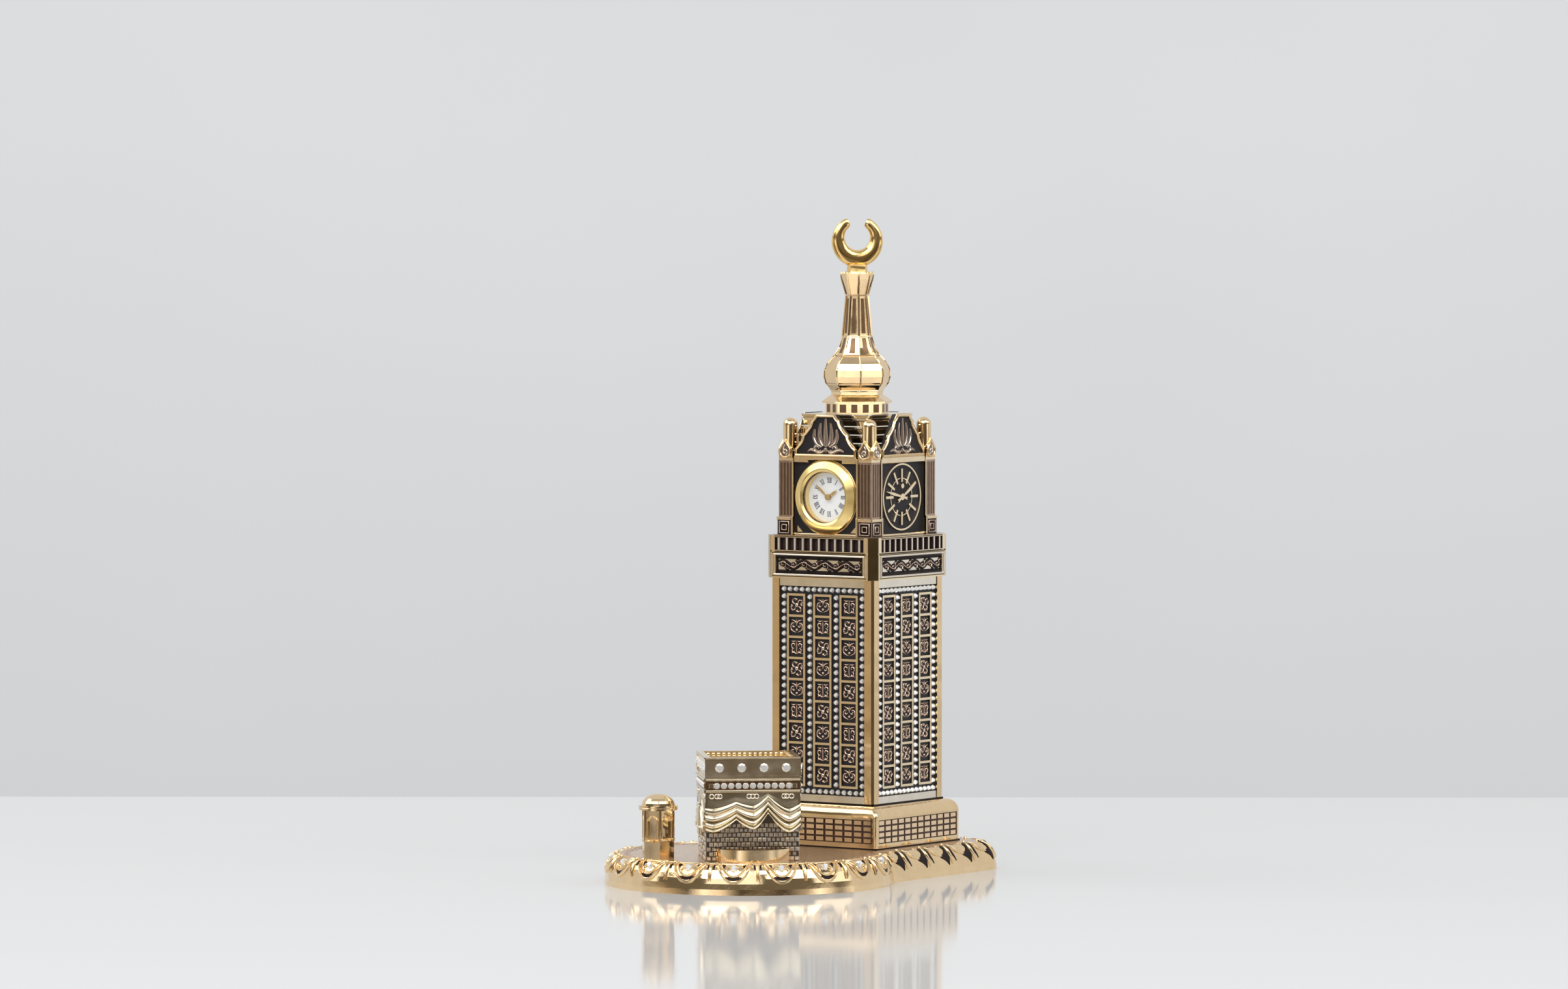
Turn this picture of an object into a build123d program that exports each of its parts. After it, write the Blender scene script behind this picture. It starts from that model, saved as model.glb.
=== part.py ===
from build123d import *
import os
from math import atan2, cos, degrees, radians, sin, sqrt

os.makedirs("parts", exist_ok=True)

# Heights of the tower's stages, from the table up
base_height = 10.6
plinth_height = 15.6
shaft_height = 82.2
cornice_height = 15.6
head_height = 28.1
rail_height = 0.8
gable_height = 15.5
platform_height = 1.1

# Half widths of the tower's stages
plinth_half = 27.2
shaft_half = 22.75
cornice_half = 24.5
head_half = 20.6
platform_half = 14.5

# Base casting: a round lobe under the miniatures and a rounded square under the tower
lobe_radius = 52.5
lobe_x = -4.5
lobe_y = -62.0
foot_half = 39.0
foot_corner = 7.0
crest_inset = 5.0
crest_steps = 8
base_wall = 6.0
base_top = 3.5
felt_thickness = 1.0
felt_inset = 1.6
felt_gap = 0.2
swag_stone_count = 13
swag_stone_first = -216.0
swag_stone_last = 16.8
swag_stone_level = 7.6

# Plinth
plinth_round = 4.0
plinth_corner = 1.2
well_half = 11.8
well_roof = 4.0
lattice_margin = 1.9
lattice_height = 8.6
lattice_bottom = 2.2
lattice_plate = 0.8
lattice_relief = 0.5
lattice_depth = 0.2
lattice_columns = 12
lattice_rows = 4
lattice_gap = 1.0
lattice_row_gap = 0.7

# Shaft: four corner posts, four relief panels and the rails above and below them
post_width = 3.8
post_chamfer = 0.8
post_lap = 3.0
post_foot = 0.6
post_foot_inset = 0.8
rail_bottom_height = 3.1
rail_top_height = 2.9
rail_setback = 0.3
panel_thickness = 1.2
panel_setback = 1.0
cell_columns = 3
cell_rows = 9
cell_pitch = 11.7
cell_row_pitch = 7.75
cell_width = 8.1
cell_line = 0.85
cell_relief = 0.6

# Clear stones
stone_diameter = 2.0
stone_height = 0.9
stone_edge = 1.2
stone_side_gap = 0.6
stone_strip_gap = 0.7
stone_sides = 8
stone_taper = 24.0
strip_stones = 26
row_stones = 14
rim_stone_diameter = 2.8
rim_stone_height = 1.2
parapet_stone_diameter = 3.3
parapet_stone_height = 1.2

# Cornice
cornice_chamfer = 2.8
frieze_margin = 4.9
frieze_height = 6.1
frieze_bottom = 1.9
frieze_depth = 1.6
frieze_plate = 0.9
arcade_margin = 4.8
arcade_height = 4.6
arcade_bottom = 10.2
arcade_depth = 1.4
arcade_posts = 11
arcade_post_width = 1.5
groove_depth = 0.5
groove_height = 0.5

# Clock head
pilaster_width = 6.7
pedestal_height = 6.4
pedestal_proud = 0.4
flute_count = 4
flute_radius = 0.5
flute_margin = 1.2
bore_end_gap = 1.0
dial_square_bottom = 0.4
dial_square_top = 0.3
dial_plate_setback = 1.2
dial_plate_thickness = 1.4
ring_outer = 12.3
ring_width = 0.6
inner_ring_radius = 7.0
dial_relief = 0.6
thin_relief = 0.3
corner_leg = 2.4
baton_inner = 5.5
baton_length = 4.8
baton_width = 0.9
relief_hour_length = 10.5
relief_hour_width = 0.65
relief_hour_angle = 61.0
relief_minute_length = 11.0
relief_minute_width = 0.55
relief_minute_angle = -78.0
relief_hand_swell = 0.55
relief_tail_length = 3.4
relief_hub_radius = 1.2
relief_hand_height = 0.9
ball_rise = 4.0
ball_radius = 0.9

# Gables, pinnacles and roof steps
gable_margin = 7.0
gable_thickness = 1.6
gable_setback = 0.5
gable_border = 0.9
gable_relief = 0.5
pinnacle_radius = 2.7
pinnacle_margin = 3.0
pinnacle_height = 14.8
pinnacle_block = 3.4
medallion_width = 5.2
medallion_height = 7.0
medallion_turn = 26.0
medallion_proud = 0.3
roof_steps = 5
roof_margin = 3.2
roof_top_inset = 1.2
roof_gap = 0.3
# Gable profile: steps in from its foot, each with its share of the gable's height
gable_profile = [(0.0, 0.14), (3.6, 0.50), (4.5, 0.55), (7.4, 0.86), (8.1, 0.89), (9.3, 1.0)]
gable_low_swell = (2.3, 0.30)
gable_high_swell = (6.4, 0.70)

# Spire: width across opposite corners at each level above the roof platform
drum_width = 23.2
drum_height = 3.8
skirt_width = 25.8
skirt_height = 3.0
waist_width = 19.0
waist_height = 1.2
skirt_edge = 0.6
# Bulb profile: heights above the waist, each with its width
bulb_profile = [(2.4, 22.2), (4.5, 23.6), (7.0, 23.0), (9.6, 20.4), (12.8, 16.6), (16.1, 13.0)]
bulb_height = 20.2
neck_width = 10.6
neck_top_width = 7.9
neck_height = 15.0
collar_width = 12.4
collar_height = 7.9
# Collar profile: heights above its foot, each with its width
collar_profile = [(2.8, 9.5), (5.9, 11.5)]
stem_width = 8.1
stem_height = 3.4
spire_sides = 8

# Crescent
crescent_radius = 9.45
crescent_hole_radius = 5.15
crescent_hole_rise = 1.0
crescent_gap_angle = 23.0
crescent_depth = 5.0
crescent_turn = 41.0
crescent_sections = 17
crescent_sink = 1.0
crescent_tip_share = 0.35

# Central tie rod and small screws
rod_diameter = 4.0
rod_clearance = 0.1
rod_reach = 31.0
rod_end = 0.6
nut_width = 7.0
nut_height = 3.2
washer_diameter = 9.0
washer_thickness = 0.8
screw_diameter = 3.0
screw_head_diameter = 5.6
screw_head_height = 1.8
screw_grip = 5.0
pin_diameter = 2.4
pin_length = 14.0
pin_cover = 1.0

# Draped cube miniature, set back from the lobe's front edge and turned on the base
mini_turn = 41.1
cube_side_offset = 9.44
cube_setback = 38.79
cube_width = 33.1
cube_depth = 31.0
cube_wall_height = 29.0
cube_wall = 4.75
cube_roof = 5.0
drape_thickness = 1.1
drape_drop = 13.6
drape_peak_rise = 8.0
drape_fold_width = 9.0
drape_peaks = (-0.16, 0.19)
drape_curve = (0.35, 0.45)
drape_top_gap = 4.2
belt_height = 3.9
belt_proud = 0.5
ledge_height = 0.7
ledge_proud = 0.9
parapet_height = 7.6
parapet_wall = 2.2
parapet_proud = 0.7
parapet_frame = 0.9
parapet_panel_depth = 0.4
roof_recess = 4.4
belt_stones = 11
belt_stone_pitch = 2.6
parapet_stones = 4
parapet_stone_pitch = 8.0
door_width = 7.0
door_height = 11.0
door_proud = 1.6
door_bottom = 8.5
door_offset = 1.5

# Low round-ended wall before the cube
low_wall_radius = 14.2
low_wall_thickness = 1.6
low_wall_height = 4.7
low_wall_setback = 3.0
low_wall_gap = 0.3

# Domed kiosk miniature
kiosk_side_offset = -11.8
kiosk_setback = 12.8
kiosk_turn = 12.0
kiosk_sides = 6
kiosk_width = 12.4
kiosk_pedestal_height = 7.0
kiosk_lantern_width = 11.8
kiosk_lantern_height = 11.0
kiosk_arch_width = 3.4
kiosk_arch_height = 6.2
kiosk_arch_depth = 0.7
kiosk_rim_diameter = 13.9
kiosk_rim_height = 1.5
kiosk_dome_height = 4.2
dome_ledge = 0.9
dome_steps = 7

# Clock insert: sizes along its own axis, out of the dial plate's face
bore_radius = 11.95
bezel_radius = 13.5
bezel_height = 2.6
bezel_edge = 0.9
bezel_chamfer = 0.6
bezel_shoulder = 1.7
bezel_crest = 1.0
lens_lip = 0.05
dial_opening = 9.05
lens_radius = 9.9
lens_thickness = 1.0
lens_seat = 0.9
case_radius = 10.2
case_wall = 0.7
case_lip = 0.65
cover_thickness = 0.8
cover_spigot = 0.6
cover_gap = 0.1
grip_clearance = 0.05
grip_top = -0.3
grip_height = 2.2
dial_front = -1.5
dial_thickness = 0.4
plate_front = -2.8
plate_thickness = 0.8
plate_radius = 7.65
bridge_front = -4.4
bridge_thickness = 0.5
pillar_radius = 0.7
pillar_inset = 0.84
pillar_count = 3
pillar_turn = 60.0
hour_hand_level = -1.0
minute_hand_level = -0.3
hand_thickness = 0.2
hour_hand_length = 4.6
hour_hand_width = 0.55
minute_hand_length = 7.0
minute_hand_width = 0.45
hand_swell = 0.55
arbor_radius = 0.45
arbor_tip = 0.15
tube_radius = 0.75
dial_hole_gap = 0.1
hub_radius = 1.1
running_gap = 0.04
gear_module = 0.14
cannon_teeth = 10
minute_wheel_teeth = 30
minute_pinion_teeth = 8
hour_wheel_teeth = 32
gear_thickness = 0.25
addendum_share = 0.8
tooth_tip_share = 0.12
tooth_root_share = 0.27
spacer_radius = 0.4
cannon_level = -2.74
motion_level = -2.4
centre_wheel_teeth = 36
centre_wheel_level = -4.2
stud_radius = 0.25
battery_radius = 3.4
battery_height = 2.6
battery_x = -3.6
battery_y = -1.0
coil_length = 9.0
coil_width = 1.8
coil_flange = 1.0
coil_y = 5.0
board_x = 2.6
board_y = -4.2
board_length = 3.6
board_width = 3.2
board_thickness = 0.4
drive_x = 3.6
drive_y = -3.4
drive_size = 3.4
stem_level = -5.6
stem_radius = 0.35
stem_inner_end = 4.4
stem_hole_gap = 0.15
yoke_length = 0.9
yoke_width = 2.6
yoke_wall = 0.5
crown_radius = 1.5
crown_length = 1.0
crown_gap = 0.15
crown_flutes = 14
crown_flute_radius = 0.14
hour_angle = 56.0
minute_angle = -48.0

# Levels and places that follow from the sizes above
plinth_level = base_height
lattice_width = 2 * (plinth_half - lattice_margin)
frieze_width = 2 * (cornice_half - frieze_margin)
arcade_width = 2 * (cornice_half - arcade_margin)
dial_square_height = head_height - dial_square_bottom - dial_square_top
roof_half = head_half - roof_margin
gable_half = head_half - gable_margin
pinnacle_place = head_half - pinnacle_margin
lobe_front = lobe_y - lobe_radius
shaft_level = plinth_level + plinth_height
cornice_level = shaft_level + shaft_height
head_level = cornice_level + cornice_height
roof_level = head_level + head_height
gable_level = roof_level + rail_height
platform_level = gable_level + gable_height
drum_top = platform_level + drum_height
waist_level = drum_top + skirt_height + waist_height
neck_level = waist_level + bulb_height
collar_level = neck_level + neck_height
stem_base = collar_level + collar_height
panel_half = shaft_half - post_width
panel_low = shaft_level + rail_bottom_height
panel_high = cornice_level - rail_top_height
panel_front = shaft_half - panel_setback
panel_back = panel_front - panel_thickness
dial_plate_half = head_half - pilaster_width
dial_face = head_half - dial_plate_setback
dial_centre = head_level + dial_square_bottom + dial_square_height / 2
cavity_roof = base_height - base_top
bridge_back = bridge_front - bridge_thickness
case_depth = battery_height + cover_gap + cover_spigot - bridge_back
plate_back = plate_front - plate_thickness
side_names = ["front", "right", "back", "left"]


def write(name, shape):
    """Write one named piece, or one group of like pieces."""
    export_step(shape, "parts/" + name + ".step")


def turned(shape, side):
    """Turn a piece made for the front face to face number side, counted towards the right."""
    return Rot(0, 0, 90 * side) * shape


def on_face(sketch, depth, height):
    """Raise a drawing in face coordinates outwards from a distance off the tower's axis."""
    plane = Plane(origin=(0, -depth, 0), x_dir=(1, 0, 0), z_dir=(0, -1, 0))
    return extrude(plane * sketch, height)


def block(half_x, half_y, low, high):
    """A box centred on the vertical axis between two levels."""
    return Pos(0, 0, (low + high) / 2) * Box(2 * half_x, 2 * half_y, high - low)


def rod(radius, low, high):
    """A round bar on the vertical axis between two levels."""
    return Pos(0, 0, (low + high) / 2) * Cylinder(radius, high - low)


def tube(outer, inner, low, high):
    """A round sleeve on the vertical axis between two levels."""
    return rod(outer, low, high) - rod(inner, low, high)


def cut_stone(diameter, height):
    """A clear stone with tapering sides, flat below, its foot at the origin."""
    return extrude(RegularPolygon(diameter / 2, stone_sides), height, taper=stone_taper)


def lobe_outline(inset):
    return Pos(lobe_x, lobe_y) * Circle(lobe_radius - inset)


def foot_outline(inset):
    return RectangleRounded(2 * (foot_half - inset), 2 * (foot_half - inset), foot_corner)


def bulged(outline):
    """The base's rim, upright at the table and rolling over to the flat top."""
    sections = []
    for step in range(crest_steps + 1):
        turn = radians(90 * step / crest_steps)
        inset = crest_inset * (1 - cos(turn))
        sections.append(Pos(0, 0, base_height * sin(turn)) * outline(inset))
    return loft(sections, ruled=True)


def footprint(inset):
    return lobe_outline(inset) + foot_outline(inset)


def cube_spot():
    """The cube's upright axis on the table's level, with the cube's own turn."""
    return Pos(lobe_x + cube_side_offset, lobe_front + cube_setback, 0) * Rot(0, 0, mini_turn)


def kiosk_spot():
    return Pos(lobe_x + kiosk_side_offset, lobe_front + kiosk_setback, 0) * Rot(0, 0, kiosk_turn)


def miniature_screw_places():
    """Two screws hold the cube and one holds the kiosk."""
    spread = (cube_width - cube_wall) / 2
    places = [cube_spot() * Pos(sign * spread, 0, 0) for sign in (-1, 1)]
    places.append(kiosk_spot())
    return places


def base_casting():
    body = bulged(lobe_outline) + bulged(foot_outline)
    body -= extrude(footprint(felt_inset), felt_thickness)
    body -= extrude(footprint(base_wall), cavity_roof)
    body -= rod(rod_diameter / 2 + rod_clearance, 0, base_height)
    for place in miniature_screw_places():
        body -= place * rod(screw_diameter / 2 + rod_clearance, 0, base_height)
    return body


def felt_pad():
    return extrude(footprint(felt_inset + felt_gap), felt_thickness)


def rim_stone_places():
    """Stones round the lobe, each at the middle of a swag, lying on the rolled rim."""
    step = 90 / crest_steps
    low_turn = radians(step * int(90 * swag_stone_level / base_height / step))
    high_turn = low_turn + radians(step)
    run = crest_inset * (cos(low_turn) - cos(high_turn))
    rise = base_height * (sin(high_turn) - sin(low_turn))
    lean = degrees(atan2(rise, run))
    low_inset = crest_inset * (1 - cos(low_turn))
    low_level = base_height * sin(low_turn)
    middle_inset = low_inset + run / 2
    middle_level = low_level + rise / 2
    places = []
    for index in range(swag_stone_count):
        share = index / (swag_stone_count - 1)
        bearing = swag_stone_first + (swag_stone_last - swag_stone_first) * share
        place = Pos(lobe_x, lobe_y, middle_level) * Rot(0, 0, bearing)
        places.append(place * Pos(lobe_radius - middle_inset, 0, 0) * Rot(0, lean, 0))
    return places


def rim_stones():
    stone = cut_stone(rim_stone_diameter, rim_stone_height)
    return Compound([place * stone for place in rim_stone_places()])


def plinth():
    body = block(plinth_half, plinth_half, plinth_level, shaft_level)
    body = fillet(body.edges().filter_by(Axis.Z), plinth_corner)
    body = fillet(body.faces().sort_by(Axis.Z)[-1].edges(), plinth_round)
    body -= block(well_half, well_half, plinth_level, shaft_level - well_roof)
    body -= rod(rod_diameter / 2 + rod_clearance, plinth_level, shaft_level)
    middle = plinth_level + lattice_bottom + lattice_height / 2
    window = Pos(0, middle) * Rectangle(lattice_width, lattice_height)
    depth = lattice_plate + lattice_relief + lattice_depth
    for side in range(4):
        body -= turned(on_face(window, plinth_half - depth, depth), side)
    return body


def lattice_panel():
    """A dark plate with rows of small raised squares, tied by thin bars."""
    middle = plinth_level + lattice_bottom + lattice_height / 2
    back = plinth_half - lattice_plate - lattice_relief - lattice_depth
    plate = on_face(Pos(0, middle) * Rectangle(lattice_width, lattice_height), back, lattice_plate)
    pitch_x = lattice_width / lattice_columns
    pitch_z = lattice_height / lattice_rows
    marks = []
    for row in range(lattice_rows):
        for column in range(lattice_columns):
            x = (column + 0.5) * pitch_x - lattice_width / 2
            z = middle + (row + 0.5) * pitch_z - lattice_height / 2
            marks.append(Pos(x, z) * Rectangle(pitch_x - lattice_gap, pitch_z - lattice_row_gap))
    raised = [on_face(mark, back + lattice_plate, lattice_relief) for mark in marks]
    return plate + raised


def corner_post():
    """Post at the front right corner, rebated behind for the two panels."""
    outer = Pos((panel_half + shaft_half) / 2, -(panel_half + shaft_half) / 2)
    outer *= Rectangle(post_width, post_width)
    middle = (panel_half - post_lap + panel_back) / 2
    size = panel_back - panel_half + post_lap
    section = outer + Pos(middle, -middle) * Rectangle(size, size)
    post = Pos(0, 0, shaft_level + post_foot) * extrude(section, shaft_height - post_foot)
    corner = post.edges().filter_by(Axis.Z).sort_by_distance((shaft_half, -shaft_half, shaft_level))[0]
    post = chamfer(corner, post_chamfer)
    foot_size = post_width - post_foot_inset
    foot = Pos(panel_half + foot_size / 2, -panel_half - foot_size / 2, shaft_level + post_foot / 2)
    return post + foot * Box(foot_size, foot_size, post_foot)


def shaft_rails():
    """Plain bars that close each face above and below its panel."""
    face = shaft_half - rail_setback
    low = Pos(0, (shaft_level + panel_low) / 2) * Rectangle(2 * panel_half, rail_bottom_height)
    high = Pos(0, (panel_high + cornice_level) / 2) * Rectangle(2 * panel_half, rail_top_height)
    bars = []
    for side in range(4):
        for bar in (low, high):
            bars.append(turned(on_face(bar, panel_back, face - panel_back), side))
    return Compound(bars)


def shaft_panel():
    """Dark plate with three columns of framed cells."""
    middle = (panel_low + panel_high) / 2
    plate_drawing = Pos(0, middle) * Rectangle(2 * panel_half, panel_high - panel_low)
    panel = on_face(plate_drawing, panel_back, panel_thickness)
    column_height = cell_rows * cell_row_pitch + cell_line
    strip = Rectangle(cell_width, column_height)
    for row in range(cell_rows):
        z = (row - (cell_rows - 1) / 2) * cell_row_pitch
        strip -= Pos(0, z) * Rectangle(cell_width - 2 * cell_line, cell_row_pitch - cell_line)
    for column in range(cell_columns):
        x = (column - (cell_columns - 1) / 2) * cell_pitch
        panel += on_face(Pos(x, middle) * strip, panel_front, cell_relief)
    return panel


def face_stone_spots():
    """Stones of one panel: a strip each side of every column, and a row at top and bottom."""
    edge = panel_half - stone_side_gap - stone_diameter / 2
    row_low = panel_low + stone_edge
    row_high = panel_high - stone_edge
    spots = []
    for index in range(row_stones):
        x = -edge + 2 * edge * index / (row_stones - 1)
        spots.append((x, row_low))
        spots.append((x, row_high))
    first = row_low + stone_diameter + stone_strip_gap
    last = row_high - stone_diameter - stone_strip_gap
    for strip in range(cell_columns + 1):
        x = (strip - cell_columns / 2) * cell_pitch
        x = max(-edge, min(edge, x))
        for index in range(strip_stones):
            spots.append((x, first + (last - first) * index / (strip_stones - 1)))
    return spots


def face_stones(spots, diameter, height, depth):
    stone = Rot(90, 0, 0) * cut_stone(diameter, height)
    return [Pos(x, -depth, z) * stone for x, z in spots]


def chamfered_square(half, leg):
    return chamfer(Rectangle(2 * half, 2 * half).vertices(), leg)


def cornice():
    outline = chamfered_square(cornice_half, cornice_chamfer)
    body = Pos(0, 0, cornice_level) * extrude(outline, cornice_height)
    body -= block(well_half, well_half, cornice_level, head_level - well_roof)
    body -= rod(rod_diameter / 2 + rod_clearance, cornice_level, head_level)
    frieze_middle = cornice_level + frieze_bottom + frieze_height / 2
    frieze = Pos(0, frieze_middle) * Rectangle(frieze_width, frieze_height)
    arcade_middle = cornice_level + arcade_bottom + arcade_height / 2
    arcade = Pos(0, arcade_middle) * Rectangle(arcade_width, arcade_height)
    for index in range(arcade_posts):
        x = ((index + 0.5) / arcade_posts - 0.5) * arcade_width
        arcade -= Pos(x, arcade_middle) * Rectangle(arcade_post_width, arcade_height)
    groove_middle = cornice_level + arcade_bottom - groove_height
    groove = Pos(0, groove_middle) * Rectangle(2 * cornice_half, groove_height)
    for side in range(4):
        body -= turned(on_face(frieze, cornice_half - frieze_depth, frieze_depth), side)
        body -= turned(on_face(arcade, cornice_half - arcade_depth, arcade_depth), side)
        body -= turned(on_face(groove, cornice_half - groove_depth, groove_depth), side)
    return body


def frieze_plaque():
    """Bordered plaque set in the cornice, left plain inside its border."""
    middle = cornice_level + frieze_bottom + frieze_height / 2
    back = cornice_half - frieze_depth
    plate = on_face(Pos(0, middle) * Rectangle(frieze_width, frieze_height), back, frieze_plate)
    border = Rectangle(frieze_width, frieze_height)
    border -= Rectangle(frieze_width - cell_line, frieze_height - cell_line)
    return plate + on_face(Pos(0, middle) * border, back + frieze_plate, frieze_depth - frieze_plate)


def head_case():
    body = block(head_half, head_half, head_level, roof_level)
    foot = block(head_half + pedestal_proud, head_half + pedestal_proud, head_level,
                 head_level + pedestal_height)
    body += foot
    open_half = dial_plate_half
    back = dial_face - dial_plate_thickness
    gap_height = pedestal_height
    opening = Pos(0, (head_level + roof_level - rail_height) / 2)
    opening *= Rectangle(2 * open_half, head_height - rail_height)
    seat = head_level + dial_square_bottom + dial_square_height / 2
    pocket = Pos(0, seat) * Rectangle(2 * open_half, dial_square_height)
    sill = Pos(0, head_level + gap_height / 2) * Rectangle(2 * open_half, gap_height)
    flute_top = roof_level - rail_height * 2
    flute_low = head_level + pedestal_height + rail_height
    usable = pilaster_width - 2 * flute_margin
    flutes = []
    for side in range(4):
        body -= turned(on_face(sill, head_half, pedestal_proud), side)
        body -= turned(on_face(pocket, back, head_half - back), side)
        for sign in (-1, 1):
            for index in range(flute_count):
                x = sign * (head_half - flute_margin - usable * index / (flute_count - 1))
                flute = Pos(x, -head_half, 0) * rod(flute_radius, flute_low, flute_top)
                flutes.append(turned(flute, side))
    body -= flutes
    body -= rod(rod_diameter / 2 + rod_clearance, head_level, roof_level)
    body -= insert_place() * rod(bore_radius, -case_depth - cover_thickness - bore_end_gap, 0)
    return body


def dial_square():
    middle = head_level + dial_square_bottom + dial_square_height / 2
    return Pos(0, middle) * Rectangle(2 * dial_plate_half, dial_square_height)


def front_surround():
    """Front plate with the bore for the clock insert and two raised corner triangles."""
    back = dial_face - dial_plate_thickness
    plate = on_face(dial_square(), back, dial_plate_thickness)
    plate -= insert_place() * rod(bore_radius, -2 * dial_plate_thickness, dial_plate_thickness)
    low = head_level + dial_square_bottom + cell_line
    far = dial_plate_half - cell_line
    for sign in (-1, 1):
        corner = Polyline((sign * far, low), (sign * (far - corner_leg), low), (sign * far, low + corner_leg),
                          close=True)
        plate += on_face(make_face(corner), dial_face, thin_relief)
    return plate


def relief_hand(length, width, bearing):
    """A tapering hand with a forked tail, its bearing clockwise from twelve."""
    swell = length * relief_hand_swell
    outline = Polyline((-width / 2, 0), (-width, swell), (0, length), (width, swell), (width / 2, 0), close=True)
    tail = Polyline((-width / 2, 0), (-width, -relief_tail_length), (0, width - relief_tail_length),
                    (width, -relief_tail_length), (width / 2, 0), close=True)
    return Pos(0, dial_centre) * Rot(0, 0, -bearing) * (make_face(outline) + make_face(tail))


def relief_dial():
    """Dark plate with a raised ring, twelve batons and fixed hands."""
    back = dial_face - dial_plate_thickness
    plate = on_face(dial_square(), back, dial_plate_thickness)
    ring = Circle(ring_outer) - Circle(ring_outer - ring_width)
    inner = Circle(inner_ring_radius) - Circle(inner_ring_radius - ring_width / 2)
    for hour in range(12):
        reach = baton_inner + baton_length / 2
        ring += Rot(0, 0, 30 * hour) * Pos(0, reach) * Rectangle(baton_width, baton_length)
    plate += on_face(Pos(0, dial_centre) * inner, dial_face, thin_relief)
    plate += on_face(Pos(0, dial_centre) * ring, dial_face, dial_relief)
    hands = relief_hand(relief_hour_length, relief_hour_width, relief_hour_angle)
    hands += relief_hand(relief_minute_length, relief_minute_width, relief_minute_angle)
    hands += Pos(0, dial_centre) * Circle(relief_hub_radius)
    hands += Pos(0, dial_centre + ball_rise) * Circle(ball_radius)
    return plate + on_face(hands, dial_face, relief_hand_height)


def gable_outline(margin):
    """Stepped ogee gable, drawn as two cusped lobes each side of a flat top."""
    foot = gable_half - margin
    level = gable_level + margin
    rise = gable_height - 2 * margin
    right = [(foot - x, level + rise * share) for x, share in gable_profile]
    left = [(-x, z) for x, z in reversed(right)]
    low_x, low_share = gable_low_swell
    high_x, high_share = gable_high_swell
    lower = ThreePointArc(right[0], (foot - low_x, level + rise * low_share), right[1])
    upper = ThreePointArc(right[2], (foot - high_x, level + rise * high_share), right[3])
    lower_left = ThreePointArc(left[4], (low_x - foot, level + rise * low_share), left[5])
    upper_left = ThreePointArc(left[2], (high_x - foot, level + rise * high_share), left[3])
    edges = [
        Line((-foot, level), (foot, level)),
        Line((foot, level), right[0]),
        lower,
        Line(right[1], right[2]),
        upper,
        Line(right[3], right[4]),
        Line(right[4], right[5]),
        Line(right[5], left[0]),
        Line(left[0], left[1]),
        Line(left[1], left[2]),
        upper_left,
        Line(left[3], left[4]),
        lower_left,
        Line(left[5], (-foot, level)),
    ]
    return make_face(edges)


def gable():
    back = head_half - gable_setback - gable_thickness
    plate = on_face(gable_outline(0), back, gable_thickness)
    border = gable_outline(0) - gable_outline(gable_border)
    return plate + on_face(border, back + gable_thickness, gable_relief)


def medallion():
    """Pointed drop on the pinnacle's foot."""
    half = medallion_width / 2
    turn = radians(medallion_turn)
    right = (half * cos(turn), roof_level + half + half * sin(turn))
    left = (-right[0], right[1])
    tip = (0, roof_level + medallion_height)
    return make_face([ThreePointArc(right, (0, roof_level), left), Line(left, tip), Line(tip, right)])


def pinnacle():
    """Round turret at the front right corner on a square foot with two medallions."""
    place = Pos(pinnacle_place, -pinnacle_place, 0)
    shaft_top = roof_level + pinnacle_height - pinnacle_radius
    body = rod(pinnacle_radius, roof_level, shaft_top)
    body += Pos(0, 0, shaft_top) * Sphere(pinnacle_radius)
    foot = head_half - pinnacle_place
    body += block(foot, foot, roof_level, roof_level + pinnacle_block)
    body = place * body
    reach = foot + medallion_proud
    drop = on_face(Pos(pinnacle_place, 0) * medallion(), pinnacle_place, reach)
    side_drop = turned(on_face(Pos(-pinnacle_place, 0) * medallion(), pinnacle_place, reach), 1)
    return body + drop + side_drop


def roof():
    """Stepped slabs behind the gables, up to the platform that carries the spire."""
    level = roof_level
    rise = (platform_level - platform_height - roof_level) / roof_steps
    body = None
    for step in range(roof_steps):
        share = step / roof_steps
        half = roof_half + (platform_half - roof_top_inset - roof_half) * share
        slab = block(half, half, level, level + rise)
        body = slab if body is None else body + slab
        level += rise
    body += block(platform_half, platform_half, platform_level - platform_height, platform_level)
    foot = head_half - pinnacle_place + roof_gap
    for x in (-1, 1):
        for y in (-1, 1):
            corner = Pos(x * pinnacle_place, y * pinnacle_place, 0)
            body -= corner * block(foot, foot, roof_level, roof_level + pinnacle_block + roof_gap)
            body -= corner * rod(pinnacle_radius + roof_gap, roof_level, platform_level)
    body -= rod(rod_diameter / 2 + rod_clearance, roof_level, platform_level)
    return body


def faceted(levels):
    """Stack of eight-sided sections, given as pairs of level and width across corners."""
    sections = []
    for level, width in levels:
        sections.append(Pos(0, 0, level) * RegularPolygon(width / 2, spire_sides))
    return Rot(0, 0, crescent_turn) * loft(sections, ruled=True)


def spire_drum():
    body = faceted([(platform_level, drum_width), (drum_top, drum_width)])
    body += faceted([
        (drum_top, skirt_width),
        (drum_top + skirt_edge, skirt_width),
        (drum_top + skirt_height, waist_width),
        (waist_level, waist_width),
    ])
    return body - rod(rod_diameter / 2 + rod_clearance, platform_level, waist_level)


def spire_bulb():
    levels = [(waist_level + height, width) for height, width in bulb_profile]
    body = faceted([(waist_level, waist_width)] + levels + [(neck_level, neck_width)])
    return body - rod(rod_diameter / 2 + rod_clearance, waist_level, neck_level)


def spire_neck():
    body = faceted([(neck_level, neck_width), (collar_level, neck_top_width)])
    body -= rod(rod_diameter / 2, neck_level, rod_top())
    return body - rod(pin_diameter / 2, collar_level - pin_length / 2, collar_level)


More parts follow.
